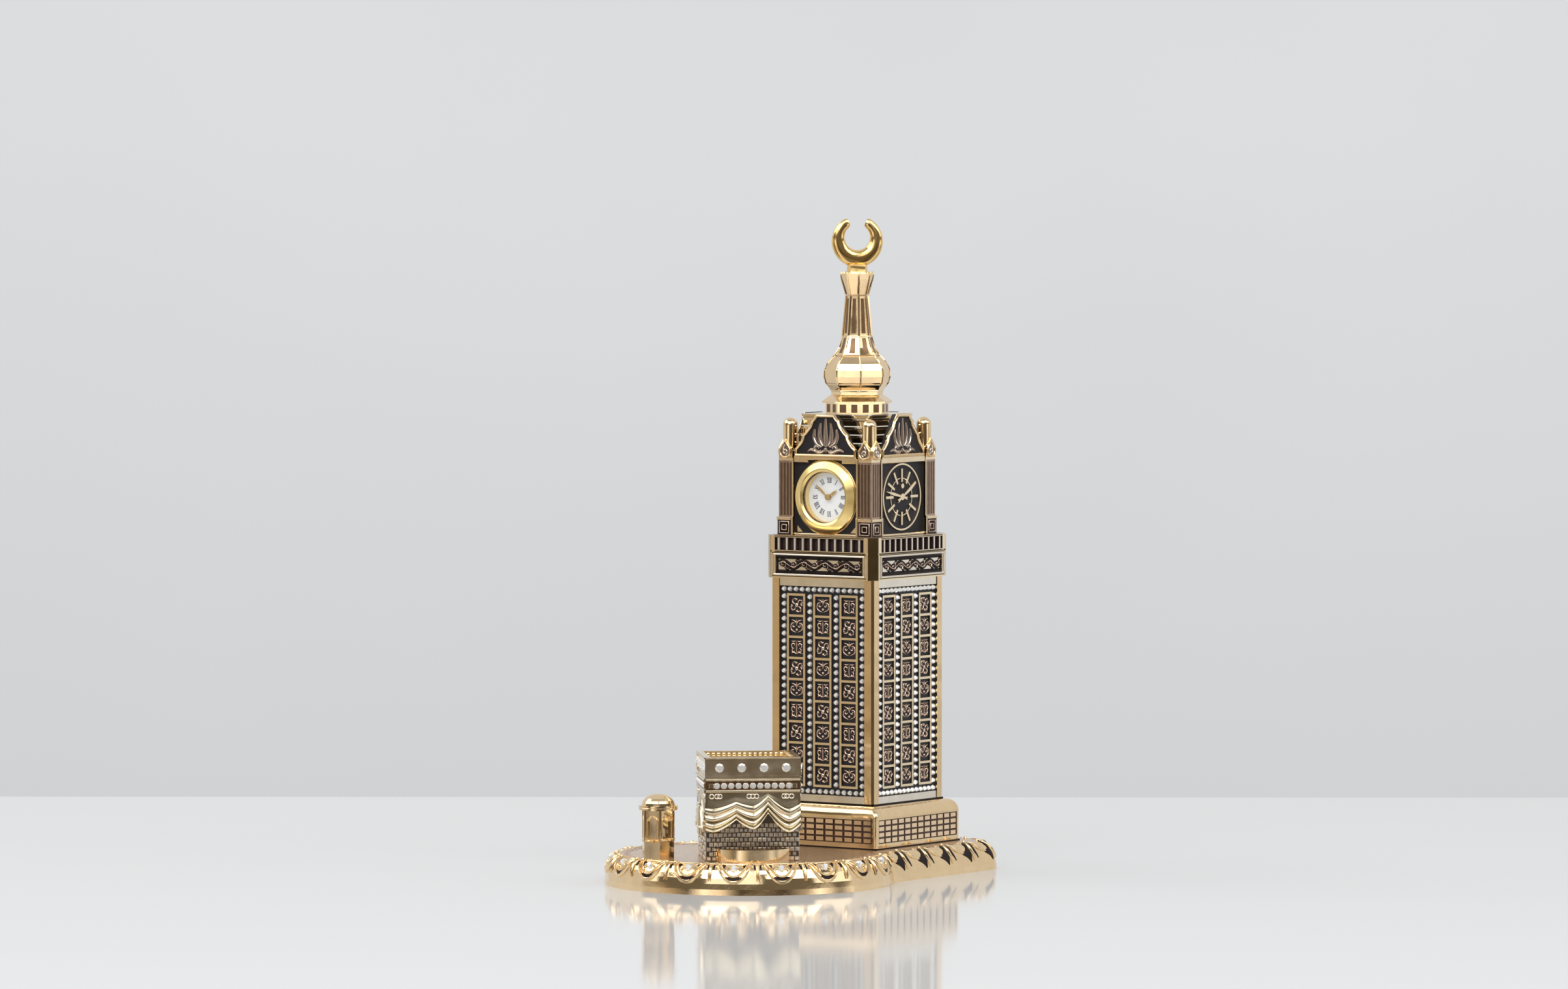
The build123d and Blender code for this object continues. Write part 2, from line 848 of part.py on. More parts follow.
def spire_collar():
    levels = [(collar_level + height, width) for height, width in collar_profile]
    body = faceted([(collar_level, neck_top_width)] + levels + [(stem_base, collar_width)])
    return body - rod(pin_diameter / 2, collar_level, stem_base)


def rod_top():
    return platform_level + rod_reach


def crescent():
    """Open ring, thick below and thinning to its two tips, on a short faceted stem."""
    centre = stem_base + stem_height + crescent_radius - crescent_sink
    sections = []
    for index in range(crescent_sections):
        share = 2 * index / (crescent_sections - 1) - 1
        turn = radians((180 - crescent_gap_angle) * share - 90)
        outer_x = crescent_radius * cos(turn)
        outer_z = crescent_radius * sin(turn)
        drop = crescent_hole_rise * sin(turn)
        inner = drop + sqrt(crescent_hole_radius ** 2 - (crescent_hole_rise * cos(turn)) ** 2)
        inner_x = inner * cos(turn)
        inner_z = inner * sin(turn)
        middle = ((outer_x + inner_x) / 2, 0, (outer_z + inner_z) / 2)
        width = crescent_radius - inner
        depth = crescent_depth * (1 - (1 - crescent_tip_share) * share ** 2)
        plane = Plane(origin=middle, x_dir=(cos(turn), 0, sin(turn)), z_dir=(sin(turn), 0, -cos(turn)))
        sections.append(plane * Ellipse(width / 2, depth / 2))
    ring = Pos(0, 0, centre) * loft(sections, ruled=True)
    stem = extrude(Pos(0, 0, stem_base) * RegularPolygon(stem_width / 2, spire_sides), stem_height)
    body = ring + stem
    body -= rod(pin_diameter / 2, stem_base, stem_base + stem_height - pin_cover)
    return Rot(0, 0, crescent_turn) * body


def crescent_pin():
    return rod(pin_diameter / 2, collar_level - pin_length / 2, stem_base + stem_height - pin_cover)


def tie_rod():
    return rod(rod_diameter / 2, cavity_roof - nut_height - washer_thickness - rod_end, rod_top())


def tie_rod_fixings():
    top = cavity_roof - washer_thickness
    washer = tube(washer_diameter / 2, rod_diameter / 2, top, cavity_roof)
    nut = Pos(0, 0, top - nut_height) * extrude(RegularPolygon(nut_width / sqrt(3), 6), nut_height)
    return Compound([washer, nut - rod(rod_diameter / 2, top - nut_height, top)])


def miniature_screws():
    screw = rod(screw_diameter / 2, cavity_roof - screw_head_height, base_height + screw_grip)
    screw += rod(screw_head_diameter / 2, cavity_roof - screw_head_height, cavity_roof)
    return Compound([place * screw for place in miniature_screw_places()])


def cube_place():
    return Pos(0, 0, base_height) * cube_spot()


def cube_block(grow, low, high):
    return block(cube_width / 2 + grow, cube_depth / 2 + grow, low, high)


def cube_ring(grow, wall, low, high):
    return cube_block(grow, low, high) - cube_block(grow - wall, low, high)


def cube_body():
    body = cube_block(0, 0, cube_wall_height)
    body -= cube_block(-cube_wall, 0, cube_wall_height - cube_roof)
    body = cube_place() * body
    for place in miniature_screw_places()[:2]:
        body -= place * rod(screw_diameter / 2, base_height, base_height + screw_grip)
    return body


def drape_levels():
    top = cube_wall_height - drape_top_gap
    return top - drape_drop, top


def cube_drape():
    """Cloth cover as a thin sleeve, its lower edge drawn up to two peaks on each side."""
    low, high = drape_levels()
    sleeve = cube_ring(drape_thickness, drape_thickness, low, high)
    half = drape_fold_width / 2
    cuts = []
    curve_x, curve_z = half * drape_curve[0], low + drape_peak_rise * drape_curve[1]
    for share in drape_peaks:
        peak = low + drape_peak_rise
        span = cube_width * share
        left = ThreePointArc((span - half, low), (span - curve_x, curve_z), (span, peak))
        right = ThreePointArc((span, peak), (span + curve_x, curve_z), (span + half, low))
        gap = make_face([left, right, Line((span + half, low), (span - half, low))])
        across = on_face(gap, -cube_depth, 2 * cube_depth)
        along = turned(on_face(gap, -cube_width, 2 * cube_width), 1)
        cuts.append(across)
        cuts.append(along)
    sleeve -= cuts
    return cube_place() * sleeve


def cube_belt():
    high = cube_wall_height
    return cube_place() * cube_ring(belt_proud, belt_proud, high - belt_height, high)


def cube_parapet():
    low = cube_wall_height
    body = cube_block(ledge_proud, low, low + ledge_height)
    body += cube_block(parapet_proud, low, low + ledge_height + parapet_height)
    top = low + ledge_height + parapet_height
    body -= block(cube_width / 2 + parapet_proud - parapet_wall, cube_depth / 2 + parapet_proud - parapet_wall,
                  top - roof_recess, top)
    panel_height = parapet_height - 2 * parapet_frame
    for side in range(4):
        width, depth = cube_side(side, parapet_proud)
        window = Pos(0, parapet_middle()) * Rectangle(2 * (width - parapet_frame), panel_height)
        body -= turned(on_face(window, depth - parapet_panel_depth, parapet_panel_depth), side)
    return cube_place() * body


def parapet_middle():
    return cube_wall_height + ledge_height + parapet_height / 2


def cube_side(side, grow):
    """Half width of one side of the cube and its distance off the cube's axis."""
    halves = (cube_width / 2 + grow, cube_depth / 2 + grow)
    return halves if side % 2 == 0 else halves[::-1]


def cube_side_stones(count, pitch, diameter, height, level, grow):
    """Stones along the four sides of the cube at one level."""
    spots = [((index - (count - 1) / 2) * pitch, level) for index in range(count)]
    stones = []
    for side in range(4):
        for stone in face_stones(spots, diameter, height, cube_side(side, grow)[1]):
            stones.append(cube_place() * turned(stone, side))
    return Compound(stones)


def cube_belt_stones():
    level = cube_wall_height - belt_height / 2
    return cube_side_stones(belt_stones, belt_stone_pitch, stone_diameter, stone_height, level, belt_proud)


def cube_parapet_stones():
    grow = parapet_proud - parapet_panel_depth
    return cube_side_stones(parapet_stones, parapet_stone_pitch, parapet_stone_diameter, parapet_stone_height,
                            parapet_middle(), grow)


def cube_door():
    """Curtain of the door on the cube's left face."""
    face = cube_width / 2 + drape_thickness
    drawing = Pos(door_offset, door_bottom + door_height / 2) * Rectangle(door_width, door_height)
    return cube_place() * turned(on_face(drawing, face, door_proud), 3)


def low_wall():
    """Half-round wall standing before the cube's front face."""
    centre = Pos(0, -cube_depth / 2 + low_wall_setback, 0)
    wall = tube(low_wall_radius, low_wall_radius - low_wall_thickness, 0, low_wall_height)
    front = -cube_depth / 2 - low_wall_gap
    keep = Pos(0, front - low_wall_radius, low_wall_height / 2)
    keep *= Box(3 * low_wall_radius, 2 * low_wall_radius, low_wall_height)
    return cube_place() * ((centre * wall) & keep)


def kiosk_place():
    return Pos(0, 0, base_height) * kiosk_spot()


def kiosk_pedestal():
    body = extrude(RegularPolygon(kiosk_width / 2, kiosk_sides), kiosk_pedestal_height)
    body -= rod(screw_diameter / 2, 0, screw_grip)
    return kiosk_place() * body


def kiosk_lantern():
    """Many-sided lantern with a round-headed recess in each side."""
    low = kiosk_pedestal_height
    body = Pos(0, 0, low) * extrude(RegularPolygon(kiosk_lantern_width / 2, kiosk_sides), kiosk_lantern_height)
    flat = kiosk_lantern_width / 2 * cos(radians(180 / kiosk_sides))
    spring = low + (kiosk_lantern_height + kiosk_arch_height) / 2 - kiosk_arch_width / 2
    arch = Pos(0, spring - kiosk_arch_height / 2) * Rectangle(kiosk_arch_width, kiosk_arch_height)
    arch += Pos(0, spring) * Circle(kiosk_arch_width / 2)
    cut = on_face(arch, flat - kiosk_arch_depth, kiosk_arch_depth)
    for side in range(kiosk_sides):
        body -= Rot(0, 0, 360 * side / kiosk_sides) * cut
    return kiosk_place() * body


def kiosk_dome():
    """Flat rim with a rounded dome of elliptical section."""
    low = kiosk_pedestal_height + kiosk_lantern_height
    rim = kiosk_rim_diameter / 2
    spring = low + kiosk_rim_height
    points = [(0, low), (rim, low), (rim, spring)]
    for step in range(dome_steps):
        turn = radians(90 * step / dome_steps)
        points.append(((rim - dome_ledge) * cos(turn), spring + kiosk_dome_height * sin(turn)))
    points.append((0, spring + kiosk_dome_height))
    return kiosk_place() * spun(points)


def insert_place():
    """The insert's axis runs out of the front face, its zero at the dial plate."""
    return Pos(0, -dial_face, dial_centre) * Rot(90, 0, 0)


def spun(points):
    """Revolve a closed profile of radius and height pairs about the insert's axis."""
    return revolve(Plane.XZ * make_face(Polyline(*points, close=True)), Axis.Z)


def case_inner():
    return case_radius - case_wall


def bezel():
    lens_top = lens_seat + lens_thickness
    seat = case_radius + case_lip
    return spun([
        (seat, 0), (bezel_radius, 0), (bezel_radius, bezel_edge),
        (bezel_radius - bezel_chamfer, bezel_height - bezel_chamfer), (bezel_radius - bezel_shoulder, bezel_height),
        (bezel_radius - bezel_shoulder - bezel_crest, bezel_height), (dial_opening, lens_top + lens_lip),
        (dial_opening, lens_top), (lens_radius, lens_top), (lens_radius, lens_seat),
        (seat, lens_seat),
    ])


def lens():
    return rod(lens_radius, lens_seat, lens_seat + lens_thickness)


def stem_hole():
    """Round way for the stem, from inside the movement out past the case."""
    return along_stem(rod(stem_radius + stem_hole_gap, 0, crown_inner() - stem_inner_end), stem_inner_end)


def insert_case():
    body = tube(case_radius, case_inner(), -case_depth, lens_seat)
    body += tube(case_radius + case_lip, case_inner(), 0, lens_seat)
    return body - stem_hole()


def back_cover():
    body = rod(case_radius, -case_depth - cover_thickness, -case_depth)
    return body + rod(case_inner(), -case_depth, -case_depth + cover_spigot)


def grip_ring():
    return tube(bore_radius - grip_clearance, case_radius, grip_top - grip_height, grip_top)


def dial_spacer():
    return tube(case_inner(), dial_opening, dial_front, lens_seat)


def dial():
    return tube(case_inner(), tube_radius + dial_hole_gap, dial_front - dial_thickness, dial_front)


def movement_holder():
    body = tube(case_inner(), plate_radius, bridge_back - battery_height, dial_front - dial_thickness)
    return body - stem_hole()


def main_plate():
    body = rod(plate_radius, plate_back, plate_front)
    body -= rod(arbor_radius + running_gap, plate_back, plate_front)
    return body + minute_wheel_place() * rod(stud_radius, plate_front, motion_level + gear_thickness)


def train_bridge():
    body = tube(plate_radius, arbor_radius + running_gap, bridge_back, bridge_front)
    pillar = Pos(plate_radius - pillar_inset, 0, 0) * rod(pillar_radius, bridge_front, plate_back)
    for index in range(pillar_count):
        body += Rot(0, 0, pillar_turn + 360 * index / pillar_count) * pillar
    return body


def drive_block():
    """Sealed block with the stepping rotor and its reduction wheels."""
    middle = (bridge_front + plate_back) / 2
    return Pos(drive_x, drive_y, middle) * Box(drive_size, drive_size, plate_back - bridge_front)


def battery():
    return Pos(battery_x, battery_y, 0) * rod(battery_radius, bridge_back - battery_height, bridge_back)


def motor_coil():
    middle = Pos(0, coil_y, bridge_back - coil_width / 2)
    body = middle * Rot(0, 90, 0) * Cylinder(coil_width / 2, coil_length - coil_flange)
    for sign in (-1, 1):
        end = Pos(sign * (coil_length - coil_flange) / 2, 0, 0) * Box(coil_flange, coil_width, coil_width)
        body += middle * end
    return body


def circuit_board():
    middle = bridge_back - board_thickness / 2
    return Pos(board_x, board_y, middle) * Box(board_length, board_width, board_thickness)


def gear(teeth, thickness, phase):
    """Toothed wheel on its own axis, its lower face at zero."""
    pitch_radius = gear_module * teeth / 2
    tip = pitch_radius + gear_module * addendum_share
    root = pitch_radius - gear_module
    points = []
    for index in range(teeth):
        middle = 360 * (index + phase) / teeth
        for radius, share in ((root, -tooth_root_share), (tip, -tooth_tip_share),
                              (tip, tooth_tip_share), (root, tooth_root_share)):
            turn = radians(middle + 360 * share / teeth)
            points.append((radius * cos(turn), radius * sin(turn)))
    return extrude(make_face(Polyline(*points, close=True)), thickness)


def minute_wheel_place():
    distance = gear_module * (cannon_teeth + minute_wheel_teeth) / 2
    return Pos(0, -distance, 0)


def centre_wheel():
    """Arbor with the centre wheel behind the plate and the cannon pinion before it."""
    body = rod(arbor_radius, bridge_back, minute_hand_level + hand_thickness + arbor_tip)
    body += Pos(0, 0, centre_wheel_level) * gear(centre_wheel_teeth, gear_thickness, 0)
    body += Pos(0, 0, cannon_level) * gear(cannon_teeth, gear_thickness, 0.5)
    return body


def minute_wheel():
    body = Pos(0, 0, cannon_level) * gear(minute_wheel_teeth, gear_thickness, 0)
    body += rod(spacer_radius, cannon_level, motion_level)
    body += Pos(0, 0, motion_level) * gear(minute_pinion_teeth, gear_thickness, 0)
    body -= rod(stud_radius + running_gap, cannon_level, motion_level + gear_thickness)
    return minute_wheel_place() * body


def hour_wheel():
    body = Pos(0, 0, motion_level) * gear(hour_wheel_teeth, gear_thickness, 0.5)
    body += rod(tube_radius, motion_level, hour_hand_level + hand_thickness)
    return body - rod(arbor_radius + running_gap, motion_level, hour_hand_level + hand_thickness)


def clock_hand(length, width, bearing, level, bore):
    """Leaf-shaped hand with a round hub, its bearing clockwise from twelve."""
    leaf = make_face([
        ThreePointArc((0, 0), (width, length * hand_swell), (0, length)),
        ThreePointArc((0, length), (-width, length * hand_swell), (0, 0)),
    ])
    drawing = Rot(0, 0, -bearing) * leaf + Circle(hub_radius) - Circle(bore)
    return Pos(0, 0, level) * extrude(drawing, hand_thickness)


def hour_hand():
    return clock_hand(hour_hand_length, hour_hand_width, hour_angle, hour_hand_level, tube_radius)


def minute_hand():
    return clock_hand(minute_hand_length, minute_hand_width, minute_angle, minute_hand_level, arbor_radius)


def setting_yoke():
    """Small slide that the stem pulls outwards."""
    top = bridge_back - running_gap
    low = stem_level - stem_radius - yoke_wall
    body = Pos(stem_inner_end + yoke_length / 2, 0, (low + top) / 2) * Box(yoke_length, yoke_width, top - low)
    return body - along_stem(rod(stem_radius + running_gap, 0, yoke_length), stem_inner_end)


def along_stem(shape, start):
    """Place a piece drawn along its own axis on the stem's axis, from a distance off the centre."""
    return Pos(start, 0, stem_level) * Rot(0, 90, 0) * shape


def stem():
    return along_stem(rod(stem_radius, 0, crown_inner() - stem_inner_end), stem_inner_end)


def crown_inner():
    return case_radius + crown_gap


def crown():
    """Knurled knob at three o'clock, inside the bore's radius."""
    knob = rod(crown_radius, 0, crown_length)
    cuts = []
    for index in range(crown_flutes):
        flute = Pos(crown_radius, 0, 0) * rod(crown_flute_radius, 0, crown_length)
        cuts.append(Rot(0, 0, 360 * index / crown_flutes) * flute)
    return along_stem(knob - cuts, crown_inner())


def write_base():
    write("base_casting", base_casting())
    write("felt_pad", felt_pad())
    write("base_rim_stones", rim_stones())
    write("miniature_screws", miniature_screws())


def around(shape):
    """Four like pieces, one for each face or corner."""
    return Compound([turned(shape, side) for side in range(4)])


def shaft_stones():
    stones = Compound(face_stones(face_stone_spots(), stone_diameter, stone_height, panel_front))
    return Compound([turned(stone, side) for side in range(4) for stone in stones.solids()])


def write_tower():
    write("plinth", plinth())
    write("plinth_lattices", around(lattice_panel()))
    write("shaft_posts", around(corner_post()))
    write("shaft_panels", around(shaft_panel()))
    write("shaft_stones", shaft_stones())
    write("shaft_rails", shaft_rails())
    write("cornice", cornice())
    write("frieze_plaques", around(frieze_plaque()))
    write("head_case", head_case())
    write("dial_surround", front_surround())
    for side in (1, 2, 3):
        write("relief_dial_" + side_names[side], turned(relief_dial(), side))
    write("gables", around(gable()))
    write("pinnacles", around(pinnacle()))
    write("roof_steps", roof())


def write_spire():
    write("spire_drum", spire_drum())
    write("spire_bulb", spire_bulb())
    write("spire_neck", spire_neck())
    write("spire_collar", spire_collar())
    write("crescent", crescent())
    write("crescent_pin", crescent_pin())
    write("tie_rod", tie_rod())
    write("tie_rod_nut_and_washer", tie_rod_fixings())


def write_miniatures():
    write("cube_body", cube_body())
    write("cube_drape", cube_drape())
    write("cube_belt", cube_belt())
    write("cube_parapet", cube_parapet())
    write("cube_stones", Compound(cube_belt_stones().solids() + cube_parapet_stones().solids()))
    write("cube_door", cube_door())
    write("low_wall", low_wall())
    write("kiosk_pedestal", kiosk_pedestal())
    write("kiosk_lantern", kiosk_lantern())
    write("kiosk_dome", kiosk_dome())


def write_insert():
    pieces = {
        "insert_bezel": bezel,
        "insert_lens": lens,
        "insert_case": insert_case,
        "insert_back_cover": back_cover,
        "insert_grip_ring": grip_ring,
        "dial_spacer": dial_spacer,
        "dial": dial,
        "movement_holder": movement_holder,
        "movement_plate": main_plate,
        "train_bridge": train_bridge,
        "drive_block": drive_block,
        "battery": battery,
        "motor_coil": motor_coil,
        "circuit_board": circuit_board,
        "centre_wheel": centre_wheel,
        "minute_wheel": minute_wheel,
        "hour_wheel": hour_wheel,
        "hour_hand": hour_hand,
        "minute_hand": minute_hand,
        "setting_yoke": setting_yoke,
        "stem": stem,
        "crown": crown,
    }
    for name, make in pieces.items():
        write(name, insert_place() * make())


write_base()
write_tower()
write_spire()
write_miniatures()
write_insert()
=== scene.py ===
from math import copysign, cos, hypot, pi, radians, sin, sqrt

import bmesh
import bpy
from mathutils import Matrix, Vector


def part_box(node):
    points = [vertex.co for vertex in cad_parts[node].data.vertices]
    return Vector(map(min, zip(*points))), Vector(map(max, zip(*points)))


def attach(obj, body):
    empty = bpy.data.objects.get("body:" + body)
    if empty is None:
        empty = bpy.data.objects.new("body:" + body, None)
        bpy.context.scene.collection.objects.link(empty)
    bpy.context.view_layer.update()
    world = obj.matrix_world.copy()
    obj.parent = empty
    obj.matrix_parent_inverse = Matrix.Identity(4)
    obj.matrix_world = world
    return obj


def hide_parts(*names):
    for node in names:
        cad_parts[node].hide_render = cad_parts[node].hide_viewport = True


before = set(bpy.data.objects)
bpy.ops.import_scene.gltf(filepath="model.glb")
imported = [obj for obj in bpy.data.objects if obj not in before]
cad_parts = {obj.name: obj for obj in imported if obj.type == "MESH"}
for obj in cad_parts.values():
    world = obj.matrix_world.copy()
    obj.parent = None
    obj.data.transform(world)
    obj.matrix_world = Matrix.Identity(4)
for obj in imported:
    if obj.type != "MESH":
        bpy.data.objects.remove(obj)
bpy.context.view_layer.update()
MM = 0.001

# Places and sizes read from the frame, in millimetres


def foot(node):
    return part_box(node)[0][2] / MM


def top(node):
    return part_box(node)[1][2] / MM


def reach(node):
    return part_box(node)[1][0] / MM


BASE_TOP = top("base_casting")
PLINTH_HALF, PLINTH_TOP = reach("plinth"), top("plinth")
SHAFT_HALF, PANEL_FACE = reach("shaft_posts"), reach("shaft_panels")
PANEL_MIDDLE = (foot("shaft_panels") + top("shaft_panels")) / 2
CORNICE_HALF, CORNICE_LOW = reach("cornice"), foot("cornice")
HEAD_LOW, ROOF_LEVEL = foot("head_case"), top("head_case")
GABLE_LOW, GABLE_FACE = foot("gables"), reach("gables")
DIAL_CENTRE = (foot("dial") + top("dial")) / 2
DIAL_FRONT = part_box("dial")[0][1] / MM

# Materials

CLOUD = 220.0
GRAIN = 900.0
SLOW_WAVE = 0.0004


class Nodes:
    """Node tree being filled: a new node takes values or sockets, and gives its outputs."""

    def __init__(self, owner):
        owner.use_nodes = True
        self.tree = owner.node_tree

    def feed(self, node, inputs):
        for key, value in inputs.items():
            entry = node.inputs[key]
            if isinstance(value, bpy.types.NodeSocket):
                self.tree.links.new(value, entry)
            else:
                entry.default_value = (*value, 1.0) if entry.type == "RGBA" else value

    def add(self, kind, inputs, **settings):
        node = self.tree.nodes.new("ShaderNode" + kind)
        for key, value in settings.items():
            setattr(node, key, value)
        self.feed(node, inputs)
        return node.outputs

    def place(self, kind="Object"):
        return self.add("TexCoord", {})[kind]

    def axes(self, kind="Object"):
        return self.add("SeparateXYZ", {"Vector": self.place(kind)})

    def noise(self, scale, detail=3.0, kind="Object"):
        return self.add("TexNoise", {"Vector": self.place(kind), "Scale": scale, "Detail": detail})["Fac"]

    def blend(self, mask, first, second):
        """Colour that runs from the first to the second as the mask rises."""
        return self.add("Mix", {0: mask, 6: first, 7: second}, data_type="RGBA")[2]

    def between(self, mask, low, high):
        """Value that runs from low to high as the mask rises."""
        return self.add("MapRange", {"Value": mask, "To Min": low, "To Max": high})["Result"]

    def ramp(self, value, low, high):
        """0 below low and 1 above high."""
        return self.add("MapRange", {"Value": value, "From Min": low, "From Max": high})["Result"]

    def step(self, value, level, width=0.05):
        """0 below a level and 1 above it, in millimetres."""
        return self.ramp(value, level * MM, (level + width) * MM)

    def maths(self, operation, *values):
        return self.add("Math", dict(enumerate(values)), operation=operation)[0]

    def times(self, *values):
        return self.maths("MULTIPLY", *values)

    def rest(self, mask):
        return self.maths("SUBTRACT", 1.0, mask)


class Surface(Nodes):
    """Material whose Principled shader takes its look from procedural nodes."""

    def __init__(self, name):
        self.material = bpy.data.materials.new(name)
        super().__init__(self.material)

    def finish(self, colour, roughness, metallic, normal, **others):
        inputs = {"Base Color": colour, "Roughness": roughness, "Metallic": metallic, "Normal": normal}
        inputs.update({key.replace("_", " "): value for key, value in others.items()})
        self.feed(self.tree.nodes["Principled BSDF"], inputs)
        return self.material

    def bump(self, height, strength, distance, **under):
        inputs = {"Height": height, "Strength": strength, "Distance": distance, **under}
        return self.add("Bump", inputs)["Normal"]

    def grain(self, scale, strength, wave=0.0, distance=0.0001, detail=4.0):
        """Fine unevenness of the surface, over slow waves in it."""
        under = {"Normal": self.bump(self.noise(75.0, 1.0), 1.0, wave)} if wave else {}
        return self.bump(self.noise(scale, detail), strength, distance, **under)

    def square_place(self):
        """The greater and the lesser distance off the tower's axis, and the level."""
        x, y, level = self.axes()
        across, along = self.maths("ABSOLUTE", x), self.maths("ABSOLUTE", y)
        return self.maths("MAXIMUM", across, along), self.maths("MINIMUM", across, along), level

    def patina(self, mask, raised, dark, polish, strength):
        """Gold where the mask is 1 and dark where it is 0: patina in recesses, and on the cornice's chamfered
        corners a painted dark reflection.
        """
        return self.finish(self.blend(mask, dark, raised), self.between(mask, 0.5, polish),
                           self.between(mask, 0.35, 1.0), self.grain(1500.0, strength))


def darker(colour, share):
    return tuple(channel * share for channel in colour)


def clouded(name, dark, colour, roughness, metallic, cloud, grain, **others):
    """Colour that varies with a slight cloud, and polish too where it has two values."""
    s = Surface(name)
    mask = s.noise(*cloud)
    polish = s.between(mask, *roughness) if isinstance(roughness, tuple) else roughness
    return s.finish(s.blend(mask, dark, colour), polish, metallic, s.grain(*grain), **others)


def gold_material(name, colour, roughness, bump=0.08, dark=None, wave=SLOW_WAVE):
    """Plated cast metal."""
    return clouded(name, dark or darker(colour, 0.80), colour, (roughness * 0.8, roughness * 1.3), 1.0,
                   (CLOUD,), (GRAIN, bump, wave))


def plain_material(name, colour, roughness, metallic=0.0, bump=0.15):
    return clouded(name, darker(colour, 0.93), colour, roughness, metallic, (GRAIN / 3,), (GRAIN, bump))


def casting_material(name, colour, flat, level):
    """Polished gold whose level top is matt and warmer."""
    s = Surface(name)
    on_top = s.step(s.axes()[2], level - 0.25, 0.2)
    polished = s.blend(s.noise(CLOUD), darker(colour, 0.80), colour)
    matt = s.blend(s.noise(420.0, 5.0), darker(flat, 0.62), flat)
    return s.finish(s.blend(on_top, polished, matt), s.between(on_top, 0.08, 0.30), 1.0,
                    s.grain(GRAIN, 0.15, SLOW_WAVE))


def depth_patina(name, depth, raised, dark):
    """Gold on what stands out past a distance off the axis, patina in the recesses."""
    s = Surface(name)
    return s.patina(s.step(s.square_place()[0], depth, 0.1), raised, dark, 0.16, 0.15)


def cornice_material(name, depth, arcade, chamfer):
    """Gold with dark recesses and dark arcade gaps, and a painted dark reflection on the chamfered corners.
    """
    s = Surface(name)
    out, inner, level = s.square_place()
    low, high, half = arcade
    gaps = s.times(s.step(level, low), s.rest(s.step(level, high)))
    gaps = s.times(gaps, s.rest(s.step(inner, half)))
    # The chamfered corners are painted dark: a painted reflection of dark surroundings
    corner = s.step(s.maths("ADD", out, inner), chamfer - 0.1)
    mask = s.times(s.step(out, depth, 0.1), s.rest(s.maths("MAXIMUM", gaps, corner)))
    return s.patina(mask, PALE_GOLD, (0.060, 0.036, 0.032), 0.14, 0.12)


def head_material(name, edge, rail_level):
    """Brown antique pilasters with gold inner edges and a gold rail on top."""
    s = Surface(name)
    _, inner, level = s.square_place()
    mask = s.maths("MAXIMUM", s.rest(s.step(inner, edge)), s.step(level, rail_level))
    brown = s.blend(s.noise(500.0), (0.34, 0.24, 0.18), (0.66, 0.50, 0.39))
    return s.finish(s.blend(mask, brown, PALE_GOLD), s.between(mask, 0.34, 0.14), 1.0, s.grain(1200.0, 0.2))


def glass_material():
    """Thin clear pane."""
    s = Surface("lens_glass")
    return s.finish((0.98, 0.99, 1.0), 0.02, 0.0, s.grain(60.0, 0.01), Alpha=0.03, IOR=1.4)


def satin_gold_material():
    """Turned satin gold with fine rings about the insert's axis."""
    s = Surface("satin_gold")
    shift = s.add("Mapping", {"Vector": s.place(), "Location": (0.0, 0.0, -DIAL_CENTRE * MM)})[0]
    rings = s.add("TexWave", {"Vector": shift, "Scale": GRAIN}, wave_type="RINGS", rings_direction="Y")["Fac"]
    return s.finish(s.blend(s.noise(150.0), (0.82, 0.60, 0.22), (0.92, 0.72, 0.33)),
                    s.between(s.noise(90.0), 0.16, 0.27), 1.0, s.bump(rings, 0.05, 0.00002))


def relief_material(name, raised, dark, low, high, polish, dull):
    """Bright on high relief and dark low down, from the relief stored on the mesh: dark joints on the
    masonry, painted shade in the folds of the cloth.
    """
    s = Surface(name)
    mask = s.ramp(s.add("Attribute", {}, attribute_name="relief", name="relief")["Fac"], low, high)
    return s.finish(s.blend(mask, dark, raised), s.between(mask, dull, polish), 1.0,
                    s.grain(GRAIN, 0.12, 0.0005))


GOLD = (0.95, 0.72, 0.43)
PALE_GOLD = (0.97, 0.81, 0.57)
PATINA = (0.018, 0.016, 0.019)
ARCADE = (CORNICE_LOW + 10.15, CORNICE_LOW + 14.85, 19.75)

MATERIALS = {
    "casting": casting_material("cast_gold", GOLD, (0.86, 0.66, 0.50), BASE_TOP),
    "cornice": cornice_material("cornice_patina_and_painted_reflection", CORNICE_HALF - 1.25, ARCADE, 2 * CORNICE_HALF - 2.8),
    "head": head_material("antique_head", 14.6, ROOF_LEVEL - 0.9),
    # Foil-backed clear stones: half a mirror under a clear coat
    "crystal": clouded("crystal", (0.90, 0.92, 0.95), (0.99, 1.0, 1.0), (0.06, 0.14), 0.5, (600.0,),
                       (700.0, 0.05), Coat_Weight=0.8),
    "glass": glass_material(),
    "satin": satin_gold_material(),
    "felt": clouded("felt", (0.05, 0.012, 0.016), (0.16, 0.05, 0.06), 0.95, 0.0, (2600.0, 6.0),
                    (4200.0, 0.9, 0.0, 0.0002, 6.0), Sheen_Weight=0.6),
    # Cloth: the darker colour low in its folds, and on the low plain cloth above them, is painted shade
    "cloth": relief_material("cast_cloth", (0.86, 0.77, 0.58), (0.53, 0.44, 0.30), 0.42, 1.15, 0.12, 0.2),
    "masonry": relief_material("cast_masonry", (0.95, 0.85, 0.73), (0.20, 0.16, 0.125), 0.05, 0.4, 0.18, 0.4),
}

